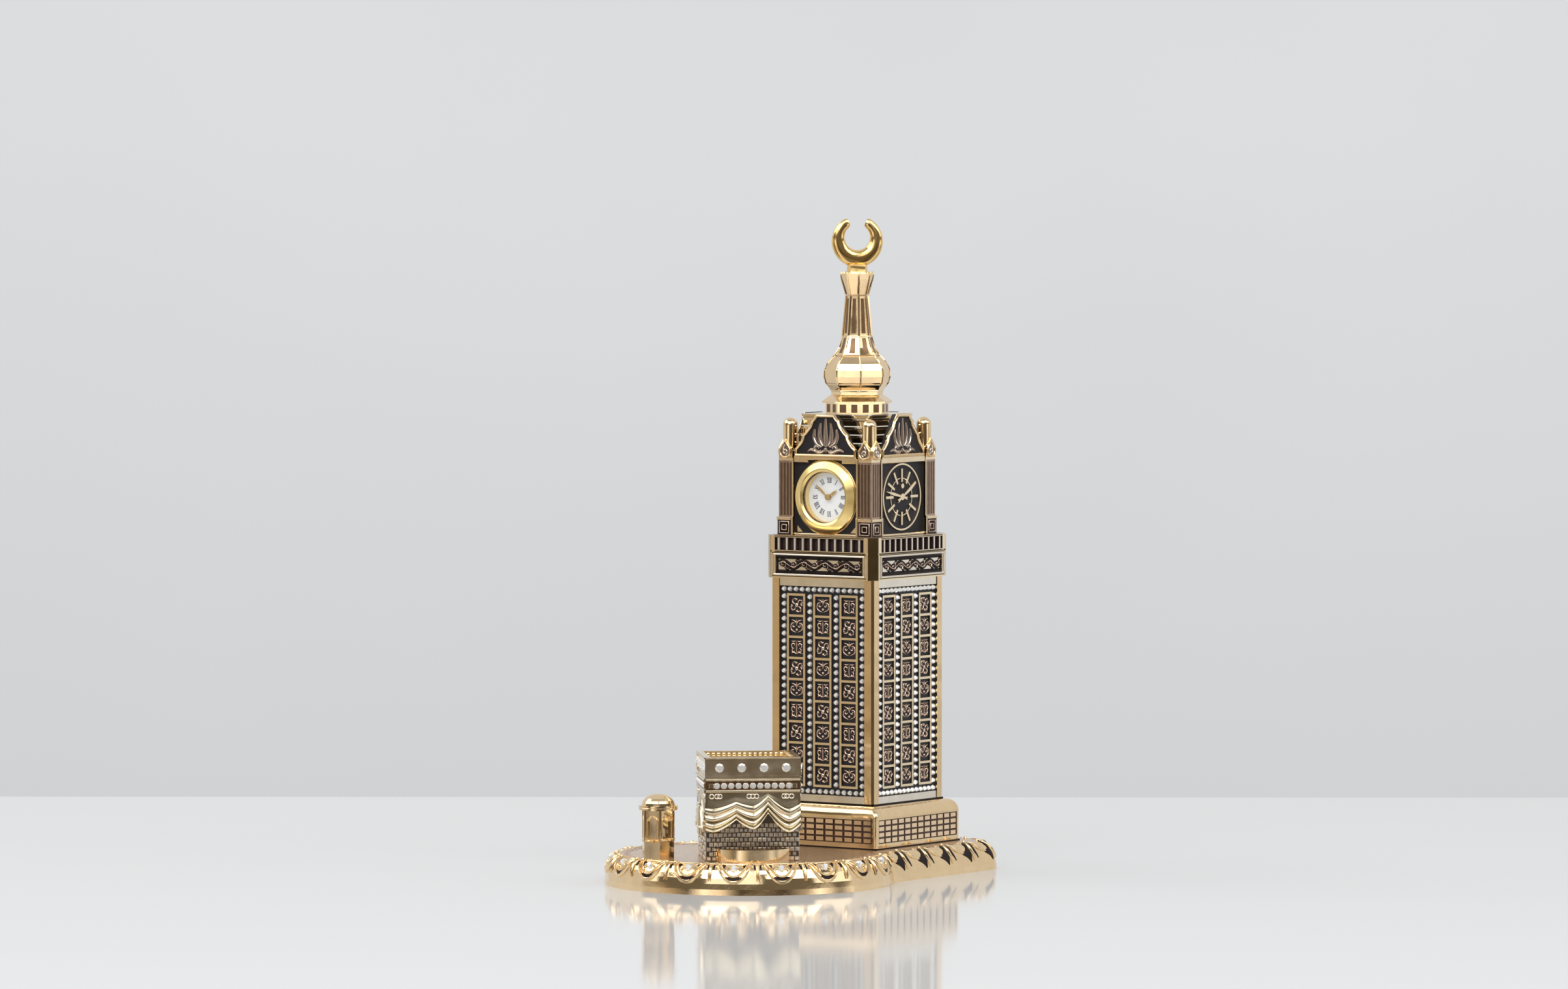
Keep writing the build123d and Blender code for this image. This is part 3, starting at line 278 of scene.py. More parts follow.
# Key, name, colour, roughness, and where they differ bump, darker colour and height of the waves
for key, *row in (
        ("gold", "polished_gold", GOLD, 0.08),
        ("pale", "pale_gold", PALE_GOLD, 0.10),
        ("motif", "motif_gold", (0.80, 0.62, 0.50), 0.22, 0.2, None, 0.0),
        ("bright", "bright_gold", (0.97, 0.90, 0.78), 0.11),
        ("deep", "deep_gold", (1.0, 0.69, 0.28), 0.10),
        ("bronze", "dark_bronze", (0.42, 0.31, 0.25), 0.24, 0.2, (0.24, 0.17, 0.14)),
        ("flute", "pilaster_flute", (0.27, 0.18, 0.13), 0.32, 0.2, (0.17, 0.11, 0.08)),
        ("umber", "cube_umber", (0.17, 0.14, 0.10), 0.3, 0.3, (0.08, 0.065, 0.05)),
        ("setting", "stone_setting", (0.93, 0.86, 0.76), 0.14),
        # olive_gold is gold darkened to olive, a painted dark reflection for the cornice's chamfered corners
        ("olive", "olive_gold", (0.50, 0.40, 0.21), 0.13, 0.1, (0.30, 0.22, 0.10), 0.0009),
        ("parapet", "parapet_gold", (0.97, 0.86, 0.66), 0.2, 0.1, (0.66, 0.54, 0.36), 0.0009),
        # Dark colour for dark grounds and joints, and for sheets of painted shadow on the base's rims and at
        # the feet of plinth and shaft
        ("recess", "dark_recess", (0.045, 0.032, 0.028), 0.42, 0.3, (0.02, 0.016, 0.016)),
        ("brown", "brown_flute", (0.27, 0.16, 0.09), 0.3, 0.3, (0.12, 0.07, 0.04))):
    MATERIALS[key] = gold_material(*row)

# Key, name, depth of the split, raised colour and recessed colour
for key, *row in (
        ("panel", "panel_patina", PANEL_FACE - 0.35, PALE_GOLD, PATINA),
        ("lattice", "lattice_patina", PLINTH_HALF - 0.5, (0.90, 0.69, 0.47), (0.09, 0.05, 0.035)),
        ("frieze", "frieze_patina", CORNICE_HALF - 0.4, PALE_GOLD, PATINA),
        ("dials", "dial_patina", reach("relief_dial_right") - 0.85, PALE_GOLD, PATINA),
        ("gable", "gable_patina", GABLE_FACE - 0.3, PALE_GOLD, PATINA)):
    MATERIALS[key] = depth_patina(*row)

# Key, name, colour, roughness, and where they differ metal and bump
for key, *row in (
        ("steel", "bright_steel", (0.62, 0.62, 0.63), 0.28, 1.0),
        ("brass", "movement_brass", (0.72, 0.58, 0.30), 0.25, 1.0),
        ("hand", "hand_gold", (0.85, 0.62, 0.22), 0.18, 1.0),
        ("copper", "coil_copper", (0.62, 0.30, 0.16), 0.3, 1.0),
        ("white", "dial_white", (0.94, 0.97, 1.0), 0.45, 0.0, 0.03),
        ("print", "dial_print", (0.045, 0.055, 0.080), 0.5, 0.0, 0.05),
        ("black", "black_plastic", (0.03, 0.03, 0.034), 0.3),
        ("grey", "grey_plastic", (0.45, 0.46, 0.47), 0.5),
        ("board", "board_green", (0.03, 0.17, 0.08), 0.4),
        ("rubber", "grip_rubber", (0.03, 0.03, 0.03), 0.75, 0.0, 0.4)):
    MATERIALS[key] = plain_material(*row)

NODE_MATERIALS = {
    "casting": "base_casting",
    "gold": "plinth shaft_posts pinnacles roof_steps spire_drum spire_bulb spire_neck spire_collar crescent"
            " low_wall kiosk_pedestal kiosk_lantern kiosk_dome",
    "bright": "shaft_rails",
    "panel": "shaft_panels",
    "lattice": "plinth_lattices",
    "cornice": "cornice",
    "frieze": "frieze_plaques",
    "dials": "dial_surround relief_dial_right relief_dial_back relief_dial_left",
    "gable": "gables",
    "head": "head_case",
    "parapet": "cube_drape cube_parapet cube_door",
    "umber": "cube_body",
    "brown": "cube_belt",
    "crystal": "base_rim_stones shaft_stones cube_stones",
    "glass": "insert_lens",
    "satin": "insert_bezel dial_spacer crown",
    "steel": "miniature_screws crescent_pin tie_rod tie_rod_nut_and_washer train_bridge battery"
             " setting_yoke stem",
    "brass": "movement_plate centre_wheel minute_wheel hour_wheel",
    "hand": "hour_hand minute_hand",
    "copper": "motor_coil",
    "white": "dial",
    "black": "insert_case insert_back_cover",
    "grey": "movement_holder drive_block",
    "board": "circuit_board",
    "rubber": "insert_grip_ring",
    "felt": "felt_pad",
}


def dress_nodes():
    for key, nodes in NODE_MATERIALS.items():
        for node in nodes.split():
            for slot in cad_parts[node].material_slots:
                slot.material = MATERIALS[key]


# Mesh building: parts are drawn as (across, up, out) on a face or rim and placed by a function


def in_scene(name, data):
    thing = bpy.data.objects.new(name, data)
    bpy.context.scene.collection.objects.link(thing)
    return thing


class Form:
    """Closed shapes gathered into one piece, in millimetres."""

    drawn = []

    def __init__(self, name, material, crease=40.0, body="tower", stands_for=None):
        self.name, self.material, self.crease = name, material, crease
        self.body, self.stands_for = body, stands_for
        self.points, self.faces, self.reliefs = [], [], []
        Form.drawn.append(self)

    def add(self, place, *parts):
        for points, faces in parts:
            start = len(self.points)
            self.points += [place(*point) for point in points]
            self.reliefs += [point[2] for point in points]
            self.faces += [tuple(start + index for index in face) for face in faces]

    def finish(self):
        mesh = bpy.data.meshes.new(self.name)
        mesh.from_pydata([(x * MM, y * MM, z * MM) for x, y, z in self.points], [], self.faces)
        build = bmesh.new()
        build.from_mesh(mesh)
        bmesh.ops.recalc_face_normals(build, faces=build.faces)
        for face in build.faces:
            face.smooth = True
        for edge in build.edges:
            if len(edge.link_faces) == 2 and edge.calc_face_angle() > radians(self.crease):
                edge.smooth = False
        build.to_mesh(mesh)
        build.free()
        material = MATERIALS[self.material]
        if material.node_tree.nodes.get("relief"):
            mesh.attributes.new("relief", "FLOAT", "POINT").data.foreach_set("value", self.reliefs)
        mesh.materials.append(material)
        piece = in_scene(self.name, mesh)
        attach(piece, self.body)
        if self.stands_for:
            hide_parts(self.stands_for)


def forms(*texts):
    """New forms, each from a text with its name and material key."""
    return [Form(*text.split()) for text in texts]


def at(x, y, z):
    """Places counted from a spot."""
    return lambda u, v, h: (x + u, y + v, z + h)


UPRIGHT = at(0, 0, 0)


def on_sides(*depths):
    """For every side of the tower, its places at some depths."""
    return [[side_place(side, depth) for depth in depths] for side in range(4)]


def side_place(side, depth, turn=0.0, centre=(0.0, 0.0)):
    """From a face's own (across, up, out) to the part, for side 0 front, 1 right, 2 back, 3 left."""
    angle = radians(turn + 90 * side)
    c, s = cos(angle), sin(angle)

    def place(u, v, h):
        return centre[0] + u * c + (depth + h) * s, centre[1] + u * s - (depth + h) * c, v
    return place


def loft(rings, closed=False):
    """Skin over rings of equal count: the two end faces come first, or the ends are joined when closed."""
    size, count = len(rings[0]), len(rings)
    faces = [] if closed else [tuple(range(size))[::-1], tuple(range((count - 1) * size, count * size))]
    for index in range(count if closed else count - 1):
        a, b = index * size, (index + 1) % count * size
        for step in range(size):
            following = (step + 1) % size
            faces.append((a + step, a + following, b + following, b + step))
    return [point for ring in rings for point in ring], faces


def to_tip(part, end, tip):
    """Change a flat end of a part, 0 the first and 1 the last, for a fan to a tip."""
    points, faces = part
    ring = faces.pop(end)
    points.append(tip)
    faces += [(a, b, len(points) - 1) for a, b in zip(ring, ring[1:] + ring[:1])]
    return part


def polar(radius, turn, u=0.0, v=0.0):
    """Place at a radius and turn about (u, v)."""
    return u + radius * cos(turn), v + radius * sin(turn)


def turned(u, v, turn):
    return u * cos(turn) - v * sin(turn), u * sin(turn) + v * cos(turn)


def circle(count, radius=1.0, first=0.0):
    return [polar(radius, first + 2 * pi * k / count) for k in range(count)]


def corners(u0, u1, v0, v1):
    return [(u0, v0), (u1, v0), (u1, v1), (u0, v1)]


def moved(line, du, dv, flip_u=1, flip_v=1):
    """A line moved, and mirrored where a flip is -1."""
    return [(du + flip_u * u, dv + flip_v * v) for u, v in line]


def patch(outline, low, high):
    """A flat plate with the given outline, between two levels."""
    return loft([[(u, v, h) for u, v in outline] for h in (low, high)])


def box(u0, u1, v0, v1, h0, h1):
    return patch(corners(u0, u1, v0, v1), h0, h1)


def bevelled(u0, u1, v0, v1, h0, h1, bevel):
    """A block whose front edges are chamfered."""
    return loft([[(u, v, h) for u, v in corners(u0 + inset, u1 - inset, v0 + inset, v1 - inset)]
                 for inset, h in ((0.0, h0), (0.0, h1 - bevel), (bevel, h1))])


RIDGE = [(-0.5, None), (-0.46, 0.45), (-0.22, 0.9), (0.0, 1.0), (0.22, 0.9), (0.46, 0.45), (0.5, None)]


def stroke(line, width, height, sink=0.12, closed=False):
    """A rounded ridge along a line of points; width is one number or one for each point."""
    count = len(line)
    widths = width if isinstance(width, list) else [width] * count
    rings = []
    for index, (u, v) in enumerate(line):
        before, after = line[index - 1], line[(index + 1) % count]
        if not closed:
            before, after = line[max(index - 1, 0)], line[min(index + 1, count - 1)]
        du, dv = after[0] - before[0], after[1] - before[1]
        length = hypot(du, dv) or 1.0
        ring = []
        for share, rise in RIDGE:
            level = -sink if rise is None else height * rise * (0.35 + 0.65 * widths[index] / max(widths))
            offset = share * widths[index]
            ring.append((u + dv / length * offset, v - du / length * offset, level))
        rings.append(ring)
    return loft(rings, closed)


def loop(line, width, height):
    return stroke(line, width, height, closed=True)


def dome(u, v, radius, height, sides=10):
    """A round boss."""
    rings = [[(*place, level) for place in moved(circle(sides, radius * share), u, v)]
             for share, level in ((1.0, -0.12), (0.92, height * 0.5), (0.6, height * 0.88))]
    return to_tip(loft(rings), 1, (u, v, height))


def lathe(profile, sides, first=0.0):
    """A turned body from (radius, level) pairs that start and end on the axis."""
    rings = [[(*place, level) for place in circle(sides, radius, first)] for radius, level in profile[1:-1]]
    return to_tip(to_tip(loft(rings), 1, (0.0, 0.0, profile[-1][1])), 0, (0.0, 0.0, profile[0][1]))


def height_sheet(columns, rows, top, back=-0.3):
    """A closed sheet over a grid: top(i, j) gives each place as (across, up, out)."""
    points = [top(i, j) for j in range(rows) for i in range(columns)]
    count = len(points)
    points += [(u, v, back) for u, v, _ in points]
    faces = []
    for j in range(rows - 1):
        for i in range(columns - 1):
            a = j * columns + i
            faces.append((a, a + 1, a + columns + 1, a + columns))
            faces.append((count + a, count + a + columns, count + a + columns + 1, count + a + 1))
    grid = [[j * columns + i for i in range(columns)] for j in range(rows)]
    rim = grid[0] + [row[-1] for row in grid[1:]] + grid[-1][-2::-1] + [row[0] for row in grid[-2:0:-1]]
    faces += [(a, count + a, count + b, b) for a, b in zip(rim, rim[1:] + rim[:1])]
    return points, faces


def fill(rows, high=0.16, columns=5):
    """Thin plate between left and right bounds given row by row, so that it follows a curved face."""
    def top(i, j):
        v, left, right = rows[j]
        return (left + (right - left) * i / (columns - 1), v, high)
    return height_sheet(columns, len(rows), top, -0.2)


def curl(u, v, outer, inner, start, turn, steps=9):
    """Points of a spiral from its outer end to its inner end, angles in degrees."""
    shares = [step / steps for step in range(steps + 1)]
    return [polar(outer + (inner - outer) * t, radians(start + turn * t), u, v) for t in shares]


def arc(points, steps):
    """Smooth line through given points."""
    line = []
    ends = [points[0], *points, points[-1]]
    for p0, p1, p2, p3 in zip(ends, ends[1:], ends[2:], ends[3:]):
        for step in range(steps):
            t = step / steps
            line.append(tuple(
                0.5 * ((2 * p1[k]) + (p2[k] - p0[k]) * t + (2 * p0[k] - 5 * p1[k] + 4 * p2[k] - p3[k]) * t * t
                       + (3 * p1[k] - p0[k] - 3 * p2[k] + p3[k]) * t ** 3) for k in (0, 1)))
    return line + [points[-1]]


def with_mirror(lines):
    """Pairs of a line and its width, then the same pairs mirrored."""
    return lines + [(moved(line, 0, 0, -1), width) for line, width in lines]


def taper(count, wide, thin, peak):
    """Widths that swell from thin ends to wide at the peak."""
    widths = []
    for index in range(count):
        t = index / (count - 1)
        share = t / peak if t < peak else (1 - t) / (1 - peak)
        widths.append(wide * (thin + (1 - thin) * sin(share * pi / 2)))
    return widths


def tapered(line, wide, thin, height, peak=0.5):
    return stroke(line, taper(len(line), wide, thin, peak), height)


def leaf_stroke(line, wide, height, peak=0.45):
    return tapered(line, wide, 0.2, height, peak)


def on_face(part, u, v, wide=1.0, tall=1.0):
    """A part drawn about its own middle, moved to a place on the face."""
    points, faces = part
    return [(u + pu * wide, v + pv * tall, ph) for pu, pv, ph in points], faces


# Base: swags and drops on the rolled rim, with dark sheets of painted shadow in their folds, and an engraved
# border on its top

RIM_INSET = 5.0
LOBE, LOBE_RADIUS = (-4.5, -62.0), 52.5
FOOT_HALF, FOOT_CORNER = 39.0, 7.0
FOOT_STRAIGHT = FOOT_HALF - FOOT_CORNER
FOOT_QUARTER = 2 * FOOT_STRAIGHT + FOOT_CORNER * pi / 2
SWAG_COUNT, SWAG_FIRST, SWAG_LAST = 13, -216.0, 16.8
STONE_ANGLE = 50.6
DROP_FIRST, DROP_PITCH = -31.0, 14.5
ENGRAVED_FIRST, ENGRAVED_SPAN, ENGRAVED_WAVES, ENGRAVED_STEPS = -226, 258, 34, 408


def rim_table(steps=80):
    """Arc length up the rim's quarter ellipse against its angle."""
    table = [(0.0, 0.0)]
    for step in range(steps):
        a, b = pi / 2 * step / steps, pi / 2 * (step + 1) / steps
        table.append((table[-1][0] + hypot(RIM_INSET * (cos(b) - cos(a)), BASE_TOP * (sin(b) - sin(a))), b))
    return table


RIM = rim_table()
RIM_LENGTH = RIM[-1][0]


def rim_section(v, h):
    """Inset from the outline and level of a place v up the rim and h out of it."""
    if v >= RIM_LENGTH:
        return RIM_INSET + v - RIM_LENGTH, BASE_TOP + h
    index = next(i for i in range(1, len(RIM)) if RIM[i][0] >= v)
    (low, a), (high, b) = RIM[index - 1:index + 1]
    angle = a + (b - a) * (v - low) / (high - low)
    nr, nz = cos(angle) / RIM_INSET, sin(angle) / BASE_TOP
    size = hypot(nr, nz)
    inset = RIM_INSET * (1 - cos(angle)) - h * nr / size
    return max(inset, 0.05), max(BASE_TOP * sin(angle) + h * nz / size, 0.05)


def lobe_rim(bearing):
    def place(u, v, h):
        inset, level = rim_section(v, h)
        return *polar(LOBE_RADIUS - inset, radians(bearing) + u / LOBE_RADIUS, *LOBE), level
    return place


def foot_rim(middle):
    """Places round the tower's foot, from a middle counted from the middle of its right side."""
    def place(u, v, h):
        inset, level = rim_section(v, h)
        side, local = divmod(middle + u + FOOT_STRAIGHT, FOOT_QUARTER)
        past = local - 2 * FOOT_STRAIGHT
        spot = FOOT_HALF - inset, local - FOOT_STRAIGHT
        if past > 0:
            spot = polar(FOOT_CORNER, past / FOOT_CORNER, FOOT_STRAIGHT - inset, FOOT_STRAIGHT - inset)
        return *turned(*spot, radians(90 * side)), level
    return place


def hanging(level, points, steps, sign=1):
    """Smooth line through points that are counted down from a level."""
    return arc(moved(points, 0, level, sign, -1), steps)


def swag_parts():
    """One swag of the lobe's rim: a framed stone over two garlands, with tassels at its ends, and dark sheets
    of painted shadow in its bowl and beside its tassels.
    """
    top = RIM_LENGTH - 0.1
    stone = min(RIM, key=lambda entry: abs(entry[1] - radians(STONE_ANGLE)))[0]
    gold, dark = [], []
    for half, dip, width, height in ((6.9, 8.0, 1.25, 1.0), (5.5, 5.9, 0.9, 0.85)):
        shares = [2 * step / 14 - 1 for step in range(15)]
        line = [(half * t, top - dip * (1 - abs(t) ** 2.2)) for t in shares]
        gold.append(tapered(line, width, 0.55, height))
    gold.append(loop([(2.7 * c, stone + 1.75 * s) for c, s in circle(24)], 0.75, 0.7))
    # Dark sheets of painted shadow: in the bowl under the garlands, and beside each tassel
    bowl = ((7.35, 1.2), (6.9, 2.5), (6.4, 3.2), (5.9, 3.6))
    dark.append(fill([(top - v, -half, half) for v, half in bowl], 0.2))
    for sign in (-1, 1):
        tassel = hanging(top, [(8.6, 0.6), (8.7, 3.6), (8.5, 7.6)], 4, sign)
        shoulder = hanging(top, [(5.4, 0.3), (3.9, 0.5), (2.6, 1.6)], 4, sign)
        gold += [dome(sign * 6.9, top - 0.5, 0.9, 1.0), leaf_stroke(tassel, 1.15, 0.95, 0.45),
                 leaf_stroke(shoulder, 0.7, 0.6, 0.5)]
        for inner, outer, left_in, right_in, levels, columns in (
                (7.45, 8.05, 0.2, 0.0, (3.2, 2.0, 0.6), 3), (3.4, 4.7, 0.3, 0.3, (2.6, 1.5, 0.7), 5)):
            left, right = sorted((sign * inner, sign * outer))
            rows = [(top - v, left, right) for v in levels]
            rows[0] = (rows[0][0], left + left_in, right - right_in)
            dark.append(fill(rows, 0.18, columns))
    line = [(-9.0, top + 0.75), (-4.5, top + 0.5), (0, top + 0.8), (4.5, top + 0.5), (9.0, top + 0.75)]
    return gold + [stroke(line, 0.7, 0.45)], dark


def drop_parts():
    """One pattern of the foot's rim: a bright fold, and a large and a small dark drop that are painted shadow
    in the folds.
    """
    # The two dark drops are painted shadow: rows of depth below the rim's top, left and right
    large = [(8.9, 5.6, 5.75), (8.2, 5.1, 5.95), (7.3, 4.0, 6.15), (6.5, 2.5, 6.3), (5.9, 1.3, 6.3),
             (5.3, 0.9, 6.2), (4.8, 2.3, 6.1), (4.2, 3.6, 5.9), (3.4, 4.2, 5.7), (2.7, 4.5, 5.6),
             (2.1, 4.1, 5.8), (1.5, 4.0, 5.9), (0.9, 4.4, 5.5)]
    small = [(7.6, 10.4, 10.6), (6.6, 9.9, 10.3), (5.6, 9.2, 9.9), (4.7, 8.5, 9.5), (3.8, 7.9, 9.3),
             (3.0, 7.4, 9.0), (2.2, 7.0, 8.6), (1.5, 6.9, 8.2), (0.9, 7.1, 7.7)]
    fold = hanging(RIM_LENGTH, [(-6.0, 1.0), (-3.6, 2.9), (-1.2, 4.4), (1.4, 5.3)], 5)
    edge = hanging(RIM_LENGTH, [(6.4, 0.6), (6.5, 3.0), (7.2, 5.6), (8.0, 8.4)], 5)
    tip = hanging(RIM_LENGTH, [(4.0, 0.7), (2.6, 0.9), (1.4, 0.6)], 4)
    gold = [tapered(fold, 1.2, 0.5, 0.75), leaf_stroke(edge, 1.5, 0.8, 0.5),
            dome(6.3, RIM_LENGTH - 0.6, 0.75, 0.9), leaf_stroke(tip, 0.6, 0.45)]
    return gold, [fill([(RIM_LENGTH - v, left, right) for v, left, right in rows]) for rows in (large, small)]


def build_base():
    gold, dark, soft = forms("base_swags gold", "base_recesses recess", "base_engraving motif")
    swags = [lobe_rim(SWAG_FIRST + (SWAG_LAST - SWAG_FIRST) * index / (SWAG_COUNT - 1))
             for index in range(SWAG_COUNT)]
    drops = [foot_rim(FOOT_QUARTER * side + DROP_FIRST + DROP_PITCH * index)
             for side in range(3) for index in range(5 - side // 2)]
    # The dark parts go on as sheets of painted shadow
    for places, (bright, shadow_sheets) in ((swags, swag_parts()), (drops, drop_parts())):
        for place in places:
            gold.add(place, *bright)
            dark.add(place, *shadow_sheets)
    turns = [radians(ENGRAVED_FIRST + ENGRAVED_SPAN * step / ENGRAVED_STEPS)
             for step in range(ENGRAVED_STEPS + 1)]
    for inset, wave, width in ((8.2, 0.9, 0.5), (8.2, -0.9, 0.5), (6.6, 0.0, 0.35)):
        line = [polar(LOBE_RADIUS - inset + wave * sin(ENGRAVED_WAVES * (turn - radians(7))), turn, *LOBE)
                for turn in turns]
        soft.add(at(0, 0, BASE_TOP), stroke(line, width, 0.18, 0.1))


# Shaft: an arabesque in every framed cell, and at the foot of the plinth and of the shaft a dark band: a dark
# joint with painted contact shadow

CELL_COLUMNS, CELL_ROWS = 3, 9
CELL_PITCH, CELL_ROW_PITCH = 11.7, 7.75


def cell_motifs():
    """Three arabesques for a cell of about seven millimetres."""
    first = with_mirror([
        (curl(-1.35, 0.75, 1.25, 0.35, -80, -330), 0.55), (curl(-1.3, -1.25, 1.0, 0.3, 70, 300), 0.5),
        (arc([(-0.2, -2.5), (-1.0, -1.9), (-2.6, -2.3)], 3), 0.45),
        (arc([(-0.3, 2.5), (-1.2, 2.2), (-2.5, 2.5)], 3), 0.45)])
    petal = [(arc([(0.8, 0.0), (1.6, 0.5), (2.5, 0.2), (3.0, -0.6)], 3), 0.6),
             (curl(1.9, -0.9, 0.75, 0.2, 60, -300, 7), 0.45)]
    second = [([turned(u, v, radians(turn)) for u, v in line], width)
              for turn in (45, 135, 225, 315) for line, width in petal]
    third = with_mirror([
        (arc([(-0.3, -2.3), (-2.4, -1.2), (-2.3, 0.9), (-0.9, 1.2)], 4), 0.6),
        (curl(-1.1, 0.1, 0.7, 0.2, 110, 290, 7), 0.45),
        (arc([(-0.2, 0.9), (-0.8, 2.0), (-2.4, 2.4)], 3), 0.5)])
    first, second, third = ([leaf_stroke(line, width, 0.42) for line, width in lines]
                            for lines in (first, second, third))
    first.append(leaf_stroke([(0, -2.4), (0, -0.6), (0, 1.2), (0, 2.6)], 0.7, 0.45))
    second.append(dome(0, 0, 0.75, 0.45))
    second += [dome(u, v, 0.38, 0.35, 8) for u, v in ((0, 2.2), (0, -2.2), (2.2, 0), (-2.2, 0))]
    third += [leaf_stroke([(0, 0.2), (0, 1.4), (0, 2.7)], 0.8, 0.45), dome(0, -1.3, 0.5, 0.4, 8)]
    return first, second, third


def build_shaft():
    motifs = cell_motifs()
    cells, joints_and_shadows = forms("cell_arabesques motif", "casting_seams recess")
    for side in range(4):
        place = side_place(side, PANEL_FACE - 0.6)
        for column in range(CELL_COLUMNS):
            for row in range(CELL_ROWS):
                u = (column - 1) * CELL_PITCH
                v = PANEL_MIDDLE + (row - (CELL_ROWS - 1) / 2) * CELL_ROW_PITCH
                motif = motifs[(row * 2 + column + side) % 3]
                cells.add(place, *[on_face(part, u, v, 1.0, 0.98) for part in motif])
        # Dark band at each foot: a dark joint, with painted contact shadow where the part stands
        for half, level in ((PLINTH_HALF, BASE_TOP + 0.3), (SHAFT_HALF, PLINTH_TOP + 0.3)):
            joint_and_shadow = box(-half - 0.06, half + 0.06, level - 0.28, level + 0.25, -0.4, 0.06)
            joints_and_shadows.add(side_place(side, half), joint_and_shadow)


# Cornice: a scroll on every plaque and rounded bars in the arcade

ARCADE_BARS = 11
ARCADE_WIDTH = 39.4


def build_cornice():
    ground, vine, lines = forms("frieze_ground bright", "frieze_scroll recess", "frieze_lines motif")
    bars, dark, plates = forms("arcade_bars bright", "cornice_lines recess", "cornice_corners olive")
    level = (foot("frieze_plaques") + top("frieze_plaques")) / 2
    low, high = CORNICE_LOW + 10.2, CORNICE_LOW + 14.8
    wave = [(u * 0.5, level + 0.9 * sin(u * 0.5 * 2 * pi / 9.4)) for u in range(-36, 37)]
    curls = (curl(0.2, -0.2, 1.5, 0.3, 70, -400, 12), arc([(1.1, 0.6), (2.0, 1.5), (3.3, 1.2)], 3))
    for plaque, face, arcade in on_sides(CORNICE_HALF - 0.7, CORNICE_HALF, CORNICE_HALF - 0.62):
        ground.add(plaque, bevelled(-18.4, 18.4, level - 2.05, level + 2.05, -0.1, 0.2, 0.1))
        for form, half, rise, wide, proud in ((dark, 19.3, 2.9, 1.1, 0.08), (dark, 20.95, 4.25, 0.35, 0.05),
                                              (bars, 20.1, 3.65, 0.5, 0.2)):
            border = corners(-half, half, level - rise, level + rise)
            form.add(face, loop(border, wide, proud))
        for v in (low - 0.55, high + 0.45):
            dark.add(face, stroke([(-19.9, v), (19.9, v)], 0.35, 0.05))
        vine.add(plaque, stroke(wave, 2.5, 0.46))
        lines.add(plaque, stroke(wave, 0.45, 0.62))
        for index in range(8):
            up = 1 if index % 2 else -1
            knot, leaf = (moved(line, -16.45 + 4.7 * index, level, 1, up) for line in curls)
            vine.add(plaque, tapered(knot, 1.6, 0.8, 0.45), leaf_stroke(leaf, 1.7, 0.44))
            lines.add(plaque, stroke(knot, 0.35, 0.6), leaf_stroke(leaf, 0.35, 0.58))
        for index in range(ARCADE_BARS):
            u = ((index + 0.5) / ARCADE_BARS - 0.5) * ARCADE_WIDTH
            bars.add(arcade, stroke([(u, low + 0.1), (u, high - 0.1)], 1.5, 0.8, 0.3))
        for u in (-20.9, 20.9):
            bars.add(face, box(u - 0.35, u + 0.35, CORNICE_LOW + 1.9, CORNICE_LOW + 8.0, -0.5, 0.04))
    # Olive plates on the chamfered corners: their darker colour is painted reflection
    for side in range(4):
        plates.add(side_place(side, sqrt(2) * CORNICE_HALF - 1.98, 45.0),
                   bevelled(-1.9, 1.9, CORNICE_LOW + 0.05, HEAD_LOW - 0.05, -0.3, 0.08, 0.05))


# Clock head: gold edges, nested squares, flutes, gable ornaments and medallions

PILASTER_INNER, PILASTER_EDGE = 13.9, 14.75
PEDESTAL_TOP = HEAD_LOW + 6.4
PEDESTAL_HALF = reach("head_case")
HEAD_HALF = PEDESTAL_HALF - 0.4
DIAL_FACE = HEAD_HALF - 1.2
PINNACLE_PLACE = HEAD_HALF - 3.0
MEDALLION_FACE = HEAD_HALF + 0.3
GABLE_HALF = HEAD_HALF - 7.0
GABLE_SIDE = [(0.0, 0.0), (0.0, 0.14), (0.9, 0.20), (2.3, 0.30), (3.3, 0.41), (3.6, 0.50), (4.5, 0.55),
              (5.3, 0.61), (6.4, 0.70), (7.1, 0.78), (7.4, 0.86), (8.1, 0.89), (9.3, 1.0)]


def nested_squares(u, v):
    return [loop(corners(u - half, u + half, v - half, v + half), wide, 0.35)
            for half, wide in ((2.1, 0.6), (1.0, 0.5))]


def medallion(inset):
    """Pointed drop standing on its round end, counted from its foot."""
    half, height = 2.6, 7.0
    line = [polar(half - inset, radians(26 - 232 * step / 12), 0.0, half) for step in range(13)]
    return line + [(0.0, height - inset * 1.9)]


def palmette(wide, high):
    """Fan of tapering leaves over two scrolls, for a leaf width and a height."""
    middle, *side_leaves = (arc(points, 5) for points in (
        [(0.0, 1.2), (0.0, 4.0), (0.0, 7.2), (0.0, 11.2)], [(0.9, 1.6), (1.9, 3.4), (2.3, 6.2), (1.9, 9.6)],
        [(1.5, 1.4), (3.4, 2.6), (4.4, 4.8), (4.2, 7.4)]))
    scrolls = (curl(3.2, 0.9, 1.5, 0.35, 200, 380, 14),
               arc([(0.6, 0.2), (2.2, -0.7), (5.2, 0.3), (7.0, -0.3)], 5))
    parts = [tapered(middle, wide, 0.4, high, 0.35)]
    for flip in (1, -1):
        parts += [tapered(moved(line, 0, 0, flip), wide, 0.4, high, 0.35) for line in side_leaves]
        parts += [leaf_stroke(moved(line, 0, 0, flip), wide * 0.7, high - 0.1) for line in scrolls]
    return parts + [dome(0.0, 0.2, 0.45 * wide, high)]


def gable_line(inset):
    """The gable's stepped and swelling outline, inset by a border."""
    rise = top("gables") - GABLE_LOW - 2 * inset
    right = [(GABLE_HALF - inset - x, GABLE_LOW + inset + rise * share) for x, share in GABLE_SIDE]
    return right + moved(right[::-1], 0, 0, -1)


